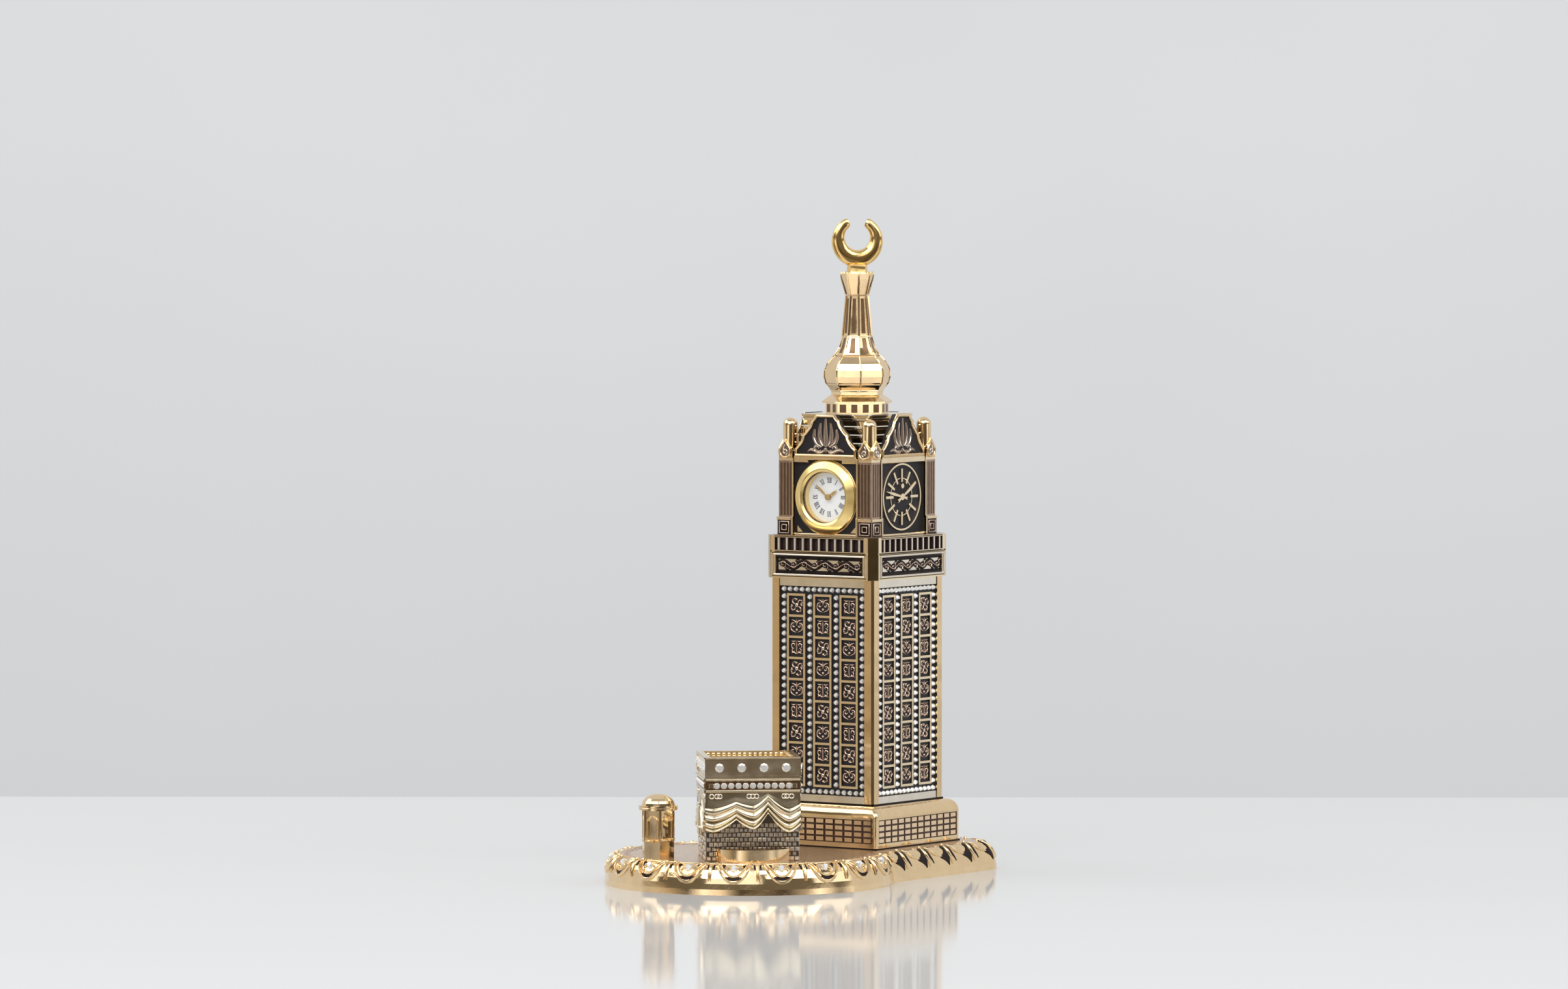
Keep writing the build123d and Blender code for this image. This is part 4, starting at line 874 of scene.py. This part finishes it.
def build_head():
    edges, dark, scroll, leaves, shadows = forms(
        "head_edges pale", "head_fields recess", "head_scrolls setting", "gable_palmettes bright",
        "gable_palmette_bodies bronze")
    rims, flutes, squares, fields, ring = forms(
        "head_rims gold", "pilaster_flutes flute", "pedestal_squares motif", "medallion_fields bronze",
        "dial_recess_ring pale")
    depths = (HEAD_HALF, PEDESTAL_HALF, MEDALLION_FACE, DIAL_FACE, GABLE_FACE - 0.5)
    motif = (curl(0.1, 2.3, 1.25, 0.3, 250, -400, 14), arc([(0.9, 3.1), (0.5, 4.2), (0.0, 5.0)], 4))
    for side, (face, pedestal, drop, rail, plate) in enumerate(on_sides(*depths)):
        for sign in (-1, 1):
            low, high = sorted((sign * PILASTER_INNER, sign * PILASTER_EDGE))
            for place, v0, v1 in ((face, PEDESTAL_TOP - 0.3, ROOF_LEVEL + 0.2),
                                  (pedestal, HEAD_LOW + 0.02, PEDESTAL_TOP + 0.4)):
                edges.add(place, bevelled(low, high, v0, v1, -0.5, 0.28, 0.12))
            for flute in range(4):
                u = sign * (HEAD_HALF - 1.2 - 4.3 * flute / 3)
                flutes.add(face, box(u - 0.4, u + 0.4, PEDESTAL_TOP + 0.9, ROOF_LEVEL - 1.7, -0.6, -0.14))
            low, high = sorted((sign * PILASTER_EDGE, sign * (PEDESTAL_HALF + 0.25)))
            edges.add(pedestal,
                      bevelled(low, high, PEDESTAL_TOP - 0.85, PEDESTAL_TOP + 0.15, -0.5, 0.3, 0.15))
            u = sign * (PILASTER_EDGE + PEDESTAL_HALF) / 2
            dark.add(pedestal, box(u - 2.75, u + 2.75, HEAD_LOW + 0.2, PEDESTAL_TOP - 0.9, -0.2, 0.08))
            squares.add(pedestal, *nested_squares(u, (HEAD_LOW + PEDESTAL_TOP - 0.85) / 2))
            spot = (sign * PINNACLE_PLACE, ROOF_LEVEL)
            rims.add(drop, loop(moved(medallion(0.3), *spot), 0.75, 0.5))
            fields.add(drop, patch(moved(medallion(0.4), *spot), -0.1, 0.06))
            scroll.add(drop, *[tapered(moved(line, *spot, sign), 0.62, 0.5, 0.4) for line in motif])
        rails = [(-PILASTER_INNER, PILASTER_INNER, -1.5, 0.75)]
        if side == 0:
            rails = [(-PILASTER_INNER, PILASTER_INNER, -0.4, 0.75), (-PILASTER_INNER, -7.4, -1.5, -0.2),
                     (7.4, PILASTER_INNER, -1.5, -0.2)]
            ring.add(rail, loop(moved(circle(72, 13.7), 0, DIAL_CENTRE), 0.4, 0.5))
        for low, high, under, over in rails:
            edges.add(rail, bevelled(low, high, ROOF_LEVEL + under, ROOF_LEVEL + over, -0.5, 1.3, 0.2))
        sill = [(-PILASTER_INNER, HEAD_LOW + 0.45), (PILASTER_INNER, HEAD_LOW + 0.45)]
        edges.add(rail, stroke(sill, 0.8, 0.5))
        rims.add(plate, loop(gable_line(0.55), 1.15, 1.0))
        for form, wide, high in ((shadows, 1.9, 0.42), (leaves, 0.62, 0.66)):
            form.add(plate, *[on_face(part, 0, GABLE_LOW + 2.2, 1.15, 1.06)
                              for part in palmette(wide, high)])


# Roof: a bright moulding along the edge of every step

ROOF_STEPS = 5
ROOF_HALF, ROOF_TOP_HALF = HEAD_HALF - 3.2, 13.3
PLATFORM_HALF = 14.5


def build_roof():
    form = Form("roof_mouldings", "bright")
    crown = top("roof_steps")
    rise = (crown - 1.1 - ROOF_LEVEL) / ROOF_STEPS
    for step in range(ROOF_STEPS):
        half = ROOF_HALF + (ROOF_TOP_HALF - ROOF_HALF) * step / ROOF_STEPS
        level = ROOF_LEVEL + rise * (step + 1)
        length = min(half + 0.3, PINNACLE_PLACE - 3.1)
        for face, in on_sides(half):
            form.add(face, bevelled(-length, length, level - 1.45, level - 0.1, -0.5, 0.5, 0.35))
    length = PLATFORM_HALF + 0.2
    for face, in on_sides(PLATFORM_HALF):
        form.add(face, bevelled(-length, length, crown - 0.6, crown - 0.05, -0.3, 0.25, 0.12))


# Spire: ribs on its eight edges, rings, dark flutes and the crescent

SPIRE_SIDES = 8
SPIRE_TURN = radians(41.0)
DRUM_LOW, WAIST_LEVEL, NECK_LEVEL = foot("spire_drum"), foot("spire_bulb"), foot("spire_neck")
COLLAR_LEVEL, STEM_BASE = foot("spire_collar"), top("spire_collar")
BALL = [(1.6, 20.6), (3.2, 23.2), (5.4, 24.3), (7.8, 24.0), (10.2, 22.0), (12.0, 18.9), (13.1, 16.6)]
BULB = BALL + [(16.1, 13.0), (20.2, 10.6)]


def spire_point(level, width, corner, lift=0.0):
    return *polar(width / 2 + lift, SPIRE_TURN + 2 * pi / SPIRE_SIDES * corner), level


def rod_along(line, radius, sides=6):
    """Round bar through places in space."""
    rings = []
    for index, place in enumerate(line):
        before, after = Vector(line[max(index - 1, 0)]), Vector(line[min(index + 1, len(line) - 1)])
        axis = (after - before).normalized()
        across = axis.cross(Vector((0.31, 0.17, 0.93))).normalized()
        other = axis.cross(across)
        rings.append([tuple(Vector(place) + radius * (c * across + s * other)) for c, s in circle(sides)])
    return loft(rings)


def flat_strip(levels, side, low, high, lift=0.04, depth=0.5):
    """Plate lying on part of one side of the spire, given pairs of level and width across corners."""
    rings = []
    for level, width in levels:
        first = Vector(spire_point(level, width, side))
        span = Vector(spire_point(level, width, side + 1)) - first
        out = Vector((span.y, -span.x, 0)).normalized()
        a, b = first + span * low, first + span * high
        ring = (a + out * lift, b + out * lift, b - out * depth, a - out * depth)
        rings.append([tuple(spot) for spot in ring])
    return loft(rings)


def ring_profile(level, width, proud, half):
    """Turned ring that stands proud of the spire at a level."""
    radius = width / 2
    side = [(-0.2, -1.0), (proud * 0.7, -0.6), (proud, 0.0), (proud * 0.7, 0.6), (-0.2, 1.0)]
    return [(0.0, level - half)] + [(radius + u, level + v * half) for u, v in side] + [(0.0, level + half)]


CRESCENT_RADIUS, CRESCENT_HOLE, CRESCENT_RISE = 9.45, 4.7, 1.5
CRESCENT_GAP, CRESCENT_DEPTH, CRESCENT_TIP, CRESCENT_STEM = 24.0, 5.0, 0.42, 3.4
CRESCENT_SECTIONS = 61


def blunt(value, power):
    return copysign(abs(value) ** power, value)


def build_crescent():
    """Open ring with broad flat faces, thick below and thinning to blunt tips, on a faceted stem."""
    centre = STEM_BASE + CRESCENT_STEM + CRESCENT_RADIUS - 1.0
    rings = []
    for index in range(CRESCENT_SECTIONS):
        share = 2 * index / (CRESCENT_SECTIONS - 1) - 1
        turn = radians((180 - CRESCENT_GAP) * share - 90)
        inner = CRESCENT_RISE * sin(turn) + sqrt(CRESCENT_HOLE ** 2 - (CRESCENT_RISE * cos(turn)) ** 2)
        middle, half = (CRESCENT_RADIUS + inner) / 2, (CRESCENT_RADIUS - inner) / 2
        depth = CRESCENT_DEPTH / 2 * (1 - (1 - CRESCENT_TIP) * share ** 2)
        end = 0.72 if abs(share) == 1 else 1.0
        section = [(middle + end * half * blunt(c, 0.85), end * depth * blunt(s, 0.8))
                   for c, s in circle(28)]
        rings.append([(out * cos(turn), side, centre + out * sin(turn)) for out, side in section])
    form = Form("crescent_ring", "deep", 35.0, stands_for="crescent")
    form.add(lambda u, v, h: (*turned(u, v, SPIRE_TURN), h), loft(rings))
    stem = [(0.0, 0.0), (4.05, 0.0), (3.8, 0.5), (3.7, CRESCENT_STEM), (0.0, CRESCENT_STEM)]
    form.add(UPRIGHT, lathe([(radius, STEM_BASE + v) for radius, v in stem], SPIRE_SIDES, SPIRE_TURN))


def build_spire():
    ribs, flutes = Form("spire_ribs", "gold", 30.0), Form("spire_flutes", "brown")
    ball = [(0.0, 1.4)] + [(width / 2, height) for height, width in BALL] + [(0.0, 13.4)]
    Form("spire_ball", "gold", 12.0).add(
        UPRIGHT, lathe([(radius, WAIST_LEVEL + v) for radius, v in ball], SPIRE_SIDES, SPIRE_TURN))
    bead = lathe([(0.0, -0.75), (0.5, -0.55), (0.75, 0.0), (0.5, 0.55), (0.0, 0.75)], 10)
    bulb = [(WAIST_LEVEL + height, width, -0.05) for height, width in BULB]
    neck = [(NECK_LEVEL + 0.2, 10.6, -0.1), (COLLAR_LEVEL - 0.1, 7.9, -0.1)]
    collar = [(COLLAR_LEVEL + 0.4, 8.1, 0.0), (COLLAR_LEVEL + 2.8, 9.5, 0.0),
              (COLLAR_LEVEL + 5.9, 11.5, -0.1), (STEM_BASE - 0.4, 12.2, -0.2)]
    neck_flute = [(NECK_LEVEL + 1.1, 10.4), (COLLAR_LEVEL - 1.1, 8.1)]
    shoulder = [(WAIST_LEVEL + 14.1, 15.2), (WAIST_LEVEL + 16.1, 13.0), (WAIST_LEVEL + 19.6, 10.9)]
    drum = [(DRUM_LOW + 0.4, 23.2), (DRUM_LOW + 3.4, 23.2)]
    for corner in range(SPIRE_SIDES):
        for line, radius in ((bulb, 0.33), (neck, 0.55), (collar, 0.4)):
            places = [spire_point(level, width, corner, lift) for level, width, lift in line]
            ribs.add(UPRIGHT, rod_along(places, radius))
        ribs.add(at(*spire_point(STEM_BASE + 0.1, 12.4, corner, -0.75)), bead)
        for levels, low, high in ((neck_flute, 0.3, 0.72), (shoulder, 0.32, 0.7), (drum, 0.10, 0.38),
                                  (drum, 0.60, 0.86)):
            flutes.add(UPRIGHT, flat_strip(levels, corner, low, high))
    for ring in ((NECK_LEVEL, 10.6, 0.45, 0.45), (COLLAR_LEVEL, 7.9, 0.5, 0.4),
                 (WAIST_LEVEL + 13.2, 16.6, 0.35, 0.3), (WAIST_LEVEL + 0.3, 19.0, 0.35, 0.5)):
        ribs.add(UPRIGHT, lathe(ring_profile(*ring), SPIRE_SIDES, SPIRE_TURN))


# Cube miniature: cloth with swagged folds, masonry, mouldings and rings

CUBE = (4.94, -75.71)
CUBE_TURN = 41.1
CUBE_HALF = (16.55, 15.5)
CLOTH_TOP = top("cube_drape")
CLOTH_COLUMNS, CLOTH_ROWS, CLOTH_FOLDS = 97, 58, 0.78
BELT_LOW, BELT_TOP = foot("cube_belt"), top("cube_belt")
PARAPET_LOW, PARAPET_TOP = foot("cube_parapet"), top("cube_parapet")
DOOR_LOW, DOOR_HIGH = foot("cube_door"), top("cube_door")
DOOR_MIDDLE, DOOR_WIDTH, DOOR_COLUMNS, DOOR_ROWS = 1.5, 7.0, 33, 15
LOWER_EDGE = ((-14.4, 20.9), (-6.0, 25.4), (0.15, 21.8), (5.4, 27.6), (13.0, 20.7))
UPPER_EDGE = ((-14.4, 29.2), (-6.0, 31.8), (0.15, 30.2), (5.4, 34.2), (13.0, 29.0))
BLOCK_PITCH, BLOCK_RISE, BLOCK_ROWS = 1.66, 1.7, 8
CLOTH_RINGS = (-14.8, -12.9, -11.9, -1.4, -0.1, 1.3, 11.2, 12.2, 13.9)


def cube_half(side):
    return CUBE_HALF if side % 2 == 0 else CUBE_HALF[::-1]


def cube_face(side, proud):
    return side_place(side, cube_half(side)[1] + proud, CUBE_TURN, CUBE)


def swag_level(points, u, power):
    """Level of a swagged line with cusps at its second and fourth points."""
    for end, cusp in ((0, 1), (4, 3), (2, 1), (2, 3)):
        (b, low), (a, high) = points[end], points[cusp]
        if min(a, b) <= u <= max(a, b) or (end == 0 and u < a) or (end == 4 and u > a):
            return low + (high - low) * abs((u - b) / (a - b)) ** power


def cloth_height(t):
    """How far the cloth stands out, t from its lower edge at 0 to the folds' top at 1."""
    if t >= 1.0:
        return 0.42 + 0.12 * min(1.0, (t - 1.0) * 2.0)
    return 0.38 + (1.15 - 0.8 * t) * abs(sin(pi * (3.7 * t ** 0.8 + 0.12)))


def cloth_side(side):
    half = cube_half(side)[0] + 0.55

    def top(i, j):
        u = -half + 2 * half * i / (CLOTH_COLUMNS - 1)
        low, high = (swag_level(edge, u * 17.1 / half, power)
                     for edge, power in ((LOWER_EDGE, 1.55), (UPPER_EDGE, 1.5)))
        share = j / (CLOTH_ROWS - 1)
        plain = (share - CLOTH_FOLDS) / (1 - CLOTH_FOLDS)
        t = share / CLOTH_FOLDS if plain <= 0 else 1.0 + plain
        v = low + (high - low) * t if plain <= 0 else high + (CLOTH_TOP - high) * plain
        return u, v, cloth_height(t) if j else 0.05
    return height_sheet(CLOTH_COLUMNS, CLOTH_ROWS, top, -0.35)


def masonry(side):
    """Rough blocks of one face, each row shifted by half a block."""
    half = cube_half(side)[0]
    count = int(2 * half / BLOCK_PITCH) + 1
    for row in range(BLOCK_ROWS):
        v = BASE_TOP + 0.85 + row * BLOCK_RISE
        for index in range(count):
            u = (index - (count - 1) / 2) * BLOCK_PITCH + (0.5 * BLOCK_PITCH if row % 2 else 0.0)
            if abs(u) <= half - 0.7:
                rise = 0.42 + 0.14 * sin(5.3 * index + 3.1 * row + side)
                yield bevelled(u - 0.76, u + 0.76, v - 0.78, v + 0.78, -0.2, rise, 0.32)


def small_ring(u, v, radius, width, height):
    return loop(moved(circle(14, radius), u, v), width, height)


def pleat(i, j):
    """Place on the door's curtain, gathered at half its height."""
    across, up = i / (DOOR_COLUMNS - 1), j / (DOOR_ROWS - 1)
    u = DOOR_WIDTH * (across - 0.5) * (1.0 - 0.12 * sin(pi * up))
    rise = (1.0 + 0.45 * abs(sin(4 * pi * across))) * (1.0 if 0 < across < 1 and 0 < up < 1 else 0.6)
    return DOOR_MIDDLE + u, DOOR_LOW + (DOOR_HIGH - DOOR_LOW) * up, rise


def build_cube():
    cloth = Form("cube_cloth", "cloth", 60.0, stands_for="cube_drape")
    blocks, mouldings, rings, inner = forms(
        "cube_masonry masonry", "cube_mouldings cloth", "cube_rings setting", "cube_inner_beads gold")
    for side in range(4):
        half = cube_half(side)[0]
        wall, eyelets, belt, rail, back = (cube_face(side, proud) for proud in (0.0, 0.45, 0.5, 0.7, -1.5))
        cloth.add(wall, cloth_side(side))
        blocks.add(wall, *masonry(side))
        for place, reach_out, v, width, height in (
                (belt, 0.4, BELT_LOW + 0.05, 1.1, 0.55), (belt, 0.4, PARAPET_LOW + 0.2, 1.1, 0.75),
                (rail, 0.5, PARAPET_TOP - 0.32, 0.55, 0.3)):
            mouldings.add(place, stroke([(-half - reach_out, v), (half + reach_out, v)], width, height))
        for u in (1.55 - half, half - 1.55):
            mouldings.add(belt, bevelled(u - 0.9, u + 0.9, BELT_LOW + 1.05, BELT_LOW + 2.85, -0.2, 0.5, 0.25))
        for u in (u * half / CUBE_HALF[0] for u in CLOTH_RINGS):
            if side != 3 or abs(u - DOOR_MIDDLE) >= 4.6:
                rings.add(eyelets, small_ring(u, CLOTH_TOP - 1.5, 0.8, 0.5, 0.5))
        rings.add(belt, *[small_ring(u * 2.6, BELT_TOP - 1.95, 1.0, 0.42, 0.45) for u in range(-5, 6)])
        count = int(2 * (half - 2.2) / 1.9)
        for index in range(count):
            u = (index - (count - 1) / 2) * 1.9
            for v in (PARAPET_TOP - 1.2, PARAPET_TOP - 2.9):
                inner.add(lambda a, b, h: back(a, b, -h), dome(u, v, 0.72, 0.4, 8))
    door = Form("cube_door_curtain", "cloth", stands_for="cube_door")
    rod = stroke([(-2.2, DOOR_HIGH + 0.25), (5.2, DOOR_HIGH + 0.25)], 1.0, 1.5)
    door.add(cube_face(3, 0.55), height_sheet(DOOR_COLUMNS, DOOR_ROWS, pleat), rod,
             *[dome(-1.4 + 1.45 * k, DOOR_LOW + 3.0, 0.45, 1.75, 8) for k in range(5)])


# Kiosk: colonnettes, arch frames and two mouldings

KIOSK = (-16.3, -101.7)
KIOSK_TURN = 12.0
KIOSK_SIDES = 6
LANTERN_LOW, LANTERN_TOP = foot("kiosk_lantern"), top("kiosk_lantern")
ARCH_SPRING = LANTERN_LOW + 6.9


def build_kiosk():
    form = Form("kiosk_details", "gold", 35.0)
    bend = [polar(2.0, pi - pi * k / 12, 0.0, ARCH_SPRING) for k in range(13)]
    arch = [(-2.0, ARCH_SPRING - 6.2)] + bend + [(2.0, ARCH_SPRING - 6.2)]
    sill = [(-2.6, LANTERN_LOW + 0.5), (2.6, LANTERN_LOW + 0.5)]
    for side in range(KIOSK_SIDES):
        turn = KIOSK_TURN + 60 * side
        form.add(side_place(0, 5.9 * cos(pi / KIOSK_SIDES), turn, KIOSK),
                 stroke(arch, 0.55, 0.4), stroke(sill, 0.7, 0.5))
        x, y = polar(5.85, radians(turn), *KIOSK)
        form.add(UPRIGHT, rod_along([(x, y, LANTERN_LOW - 0.1), (x, y, LANTERN_TOP + 0.1)], 0.5, 8))
    for level, radius, half in ((LANTERN_TOP + 0.75, 6.95, 0.55), (LANTERN_LOW, 6.0, 0.4)):
        profile = [(0.0, -half), (radius - 0.3, -half), (radius + 0.15, 0), (radius - 0.3, half), (0.0, half)]
        form.add(at(*KIOSK, level), lathe(profile, 24))


# Clock insert: a bezel with a broad sloping face, and roman numerals printed on the white dial

BEZEL_SIDES = 120
BEZEL = [(9.45, 1.9), (9.45, 2.02), (10.3, 2.5), (10.65, 2.6), (13.1, 1.35), (13.5, 0.95), (13.5, 0.0),
         (10.85, 0.0), (10.85, 0.9), (9.9, 0.9), (9.9, 1.9)]
NUMERALS = "XII I II III IIII V VI VII VIII IX X XI".split()
NUMERAL_HALF = 0.92
NUMERAL_RADIUS = 6.2
GLYPH_WIDTH = {"I": 0.46, "V": 1.1, "X": 1.15}
THICK, THIN, SERIF = 0.30, 0.15, 0.12


def build_bezel():
    form = Form("clock_bezel", "satin", 12.0, "clock_insert", "insert_bezel")
    rings = [[(radius * c, DIAL_CENTRE + radius * s, height) for radius, height in BEZEL]
             for c, s in circle(BEZEL_SIDES)]
    form.add(side_place(0, DIAL_FACE), loft(rings, closed=True))


def bar(x0, y0, x1, y1, width):
    dx, dy = x1 - x0, y1 - y0
    nx, ny = -dy / hypot(dx, dy) * width / 2, dx / hypot(dx, dy) * width / 2
    return [(x0 + nx, y0 + ny), (x0 - nx, y0 - ny), (x1 - nx, y1 - ny), (x1 + nx, y1 + ny)]


def glyph_bars(letter, x):
    """Thick downstroke and thin upstroke of a letter about its middle."""
    lean = GLYPH_WIDTH[letter] / 2 * 0.72
    ends = {"I": [(0, 0)], "V": [(-lean, 0), (lean, 0)], "X": [(-lean, lean), (lean, -lean)]}[letter]
    return [bar(x + over, NUMERAL_HALF, x + under, -NUMERAL_HALF, width)
            for (over, under), width in zip(ends, (THICK, THIN))]


def build_dial():
    form = Form("dial_numerals", "print", body="clock_insert")
    for hour, text in enumerate(NUMERALS):
        half = sum(GLYPH_WIDTH[letter] for letter in text) / 2
        x, bars = -half, []
        for letter in text:
            bars += glyph_bars(letter, x + GLYPH_WIDTH[letter] / 2)
            x += GLYPH_WIDTH[letter]
        bars += [bar(-half, v, half, v, SERIF) for v in (-NUMERAL_HALF, NUMERAL_HALF)]
        for layer, outline in enumerate(bars):
            placed = [turned(u, NUMERAL_RADIUS + v, radians(-30 * hour)) for u, v in outline]
            form.add(side_place(0, -DIAL_FRONT),
                     patch(moved(placed, 0, DIAL_CENTRE), -0.05, 0.03 + 0.002 * layer))


# Camera, lights and surroundings

PHOTO_WIDTH_PX, FOCAL_PX, SENSOR_MM = 2408, 12565.0, 36.0
CAMERA_AZIMUTH, CAMERA_YAW, CAMERA_PITCH = 34.692, 0.5125, 2.556
CAMERA_DISTANCE, CAMERA_HEIGHT = 3.00127, 0.2724
TABLE_BEHIND, TABLE_REACH = 0.33, 8.0
TABLE_COLOUR = (0.72, 0.74, 0.76)
WALL_LOW, WALL_HIGH, WALL_SHADE = (0.372, 0.377, 0.382), (0.425, 0.431, 0.437), (0.33, 0.335, 0.34)
CEILING, WALL_ROOM = (0.30, 0.30, 0.30), (0.43, 0.43, 0.43)
UPPER_WALL, WINDOW, WINDOW_COUNT = (0.10, 0.09, 0.075), (0.85, 0.85, 0.85), 4.0

# What polished metal sees round the tower: brightness by bearing, in degrees from the x axis
SURROUNDINGS = [
    (-180, (0.42, 0.40, 0.37)), (-146, (0.40, 0.38, 0.35)), (-124, (0.34, 0.28, 0.20)),
    (-104, (0.05, 0.04, 0.03)), (-90, (1.0, 0.97, 0.92)), (-76, (0.55, 0.50, 0.44)),
    (-62, (0.04, 0.03, 0.02)), (-44, (0.10, 0.08, 0.06)), (-26, (0.04, 0.03, 0.025)),
    (-10, (0.30, 0.27, 0.24)), (2, (1.0, 0.99, 0.97)), (14, (0.60, 0.58, 0.55)), (22, (0.08, 0.07, 0.06)),
    (36, (0.70, 0.68, 0.66)), (60, (0.40, 0.40, 0.40)), (180, (0.41, 0.40, 0.39)),
]


def away(azimuth, distance, height):
    """A point at an azimuth round the tower, 0 before its front face and 90 at its right."""
    return *polar(distance, radians(azimuth - 90)), height


def make_camera():
    data = bpy.data.cameras.new("camera")
    data.sensor_width = SENSOR_MM
    data.lens = SENSOR_MM * FOCAL_PX / PHOTO_WIDTH_PX
    data.clip_end = 100.0
    camera = in_scene("camera", data)
    camera.location = away(CAMERA_AZIMUTH, CAMERA_DISTANCE, CAMERA_HEIGHT)
    camera.rotation_euler = (radians(90 - CAMERA_PITCH), 0.0, radians(CAMERA_AZIMUTH + CAMERA_YAW))
    bpy.context.scene.camera = camera


def make_lights():
    for name, azimuth, distance, width, power, colour in (
            ("key", 74, 1.43, 1.5, 13.0, (1.0, 1.0, 1.0)), ("fill", -50, 1.5, 2.2, 14.0, (1.0, 0.98, 0.96)),
            ("front", 12, 1.5, 1.2, 11.0, (1.0, 1.0, 1.0))):
        data = bpy.data.lights.new(name, "AREA")
        data.shape = "RECTANGLE"
        data.size, data.size_y = width, 1.0
        data.energy, data.color = power, colour
        light = in_scene(name, data)
        light.location = away(azimuth, distance, 1.42)
        aim = Vector((0.0, -0.03, 0.12)) - light.location
        light.rotation_euler = aim.to_track_quat("-Z", "Y").to_euler()


def surroundings(nodes, x, y):
    """Colour by bearing round the tower."""
    share = nodes.maths("MULTIPLY_ADD", nodes.maths("ARCTAN2", y, x), 1 / (2 * pi))
    ramp = nodes.tree.nodes.new("ShaderNodeValToRGB")
    elements = ramp.color_ramp.elements
    while len(elements) < len(SURROUNDINGS):
        elements.new(0.5)
    for element, (bearing, colour) in zip(elements, SURROUNDINGS):
        element.position = bearing / 360 + 0.5
        element.color = (*colour, 1.0)
    nodes.feed(ramp, {0: share})
    return ramp.outputs[0]


def make_world():
    """Room round the tower: walls by bearing, windows above them, a ceiling; a pale wall to the camera."""
    world = bpy.data.worlds.new("studio")
    bpy.context.scene.world = world
    w = Nodes(world)
    x, y, level = w.axes("Generated")
    panes = w.ramp(w.maths("SINE", w.times(w.maths("ARCTAN2", y, x), WINDOW_COUNT)), -0.15, 0.15)
    band = w.times(w.ramp(level, 0.22, 0.28), w.ramp(level, 0.68, 0.60))
    above = w.blend(w.times(panes, band), UPPER_WALL, WINDOW)
    above = w.blend(w.ramp(level, 0.80, 0.90), above, CEILING)
    room = w.blend(w.ramp(level, 0.08, 0.16), surroundings(w, x, y), above)
    turn = radians(CAMERA_AZIMUTH)
    behind = w.maths("ADD", w.times(x, -sin(turn)), w.times(y, cos(turn)))
    room = w.blend(w.ramp(behind, 0.0, 0.1), room, WALL_ROOM)
    seen = w.blend(w.ramp(level, -0.09, 0.0), WALL_LOW, WALL_HIGH)
    cloudy = w.ramp(w.noise(14.0, 5.0, "Generated"), 0.35, 0.65)
    seen = w.blend(w.times(cloudy, 0.12), seen, WALL_SHADE)
    ray = w.add("LightPath", {})["Is Camera Ray"]
    w.feed(w.tree.nodes["Background"], {"Color": w.blend(ray, room, seen), "Strength": 1.7})


def table_material():
    """Pale polished table; far from the tower, polished metal sees the room and not the table."""
    s = Surface("table_white")
    x, y, _ = s.axes()
    pale = s.blend(s.noise(3.0, 6.0), darker(TABLE_COLOUR, 0.97), TABLE_COLOUR)
    distance = s.maths("SQRT", s.maths("ADD", s.maths("POWER", x, 2.0), s.maths("POWER", y, 2.0)))
    far = s.times(s.ramp(distance, 0.13, 0.32), s.add("LightPath", {})["Is Glossy Ray"])
    colour = s.blend(far, pale, surroundings(s, x, y))
    s.feed(s.tree.nodes["Principled BSDF"], {"Base Color": colour, "Roughness": 0.08, "IOR": 1.32})
    return s.material


def make_stage():
    """A pale glossy table whose far edge is square to the camera's view."""
    turn = radians(CAMERA_AZIMUTH)
    across = Vector((cos(turn), sin(turn), 0.0)) * TABLE_REACH
    away_from = Vector((-sin(turn), cos(turn), 0.0))
    edge, front = away_from * TABLE_BEHIND, away_from * -TABLE_REACH
    mesh = bpy.data.meshes.new("table")
    mesh.from_pydata([front - across, front + across, edge + across, edge - across], [], [(0, 1, 2, 3)])
    mesh.materials.append(table_material())
    in_scene("table", mesh)


dress_nodes()
for build in (build_base, build_shaft, build_cornice, build_head, build_roof, build_spire, build_crescent,
              build_bezel, build_cube, build_kiosk, build_dial):
    build()
for form in Form.drawn:
    form.finish()
make_camera()
make_lights()
make_world()
make_stage()
bpy.context.scene.view_settings.view_transform = "Standard"
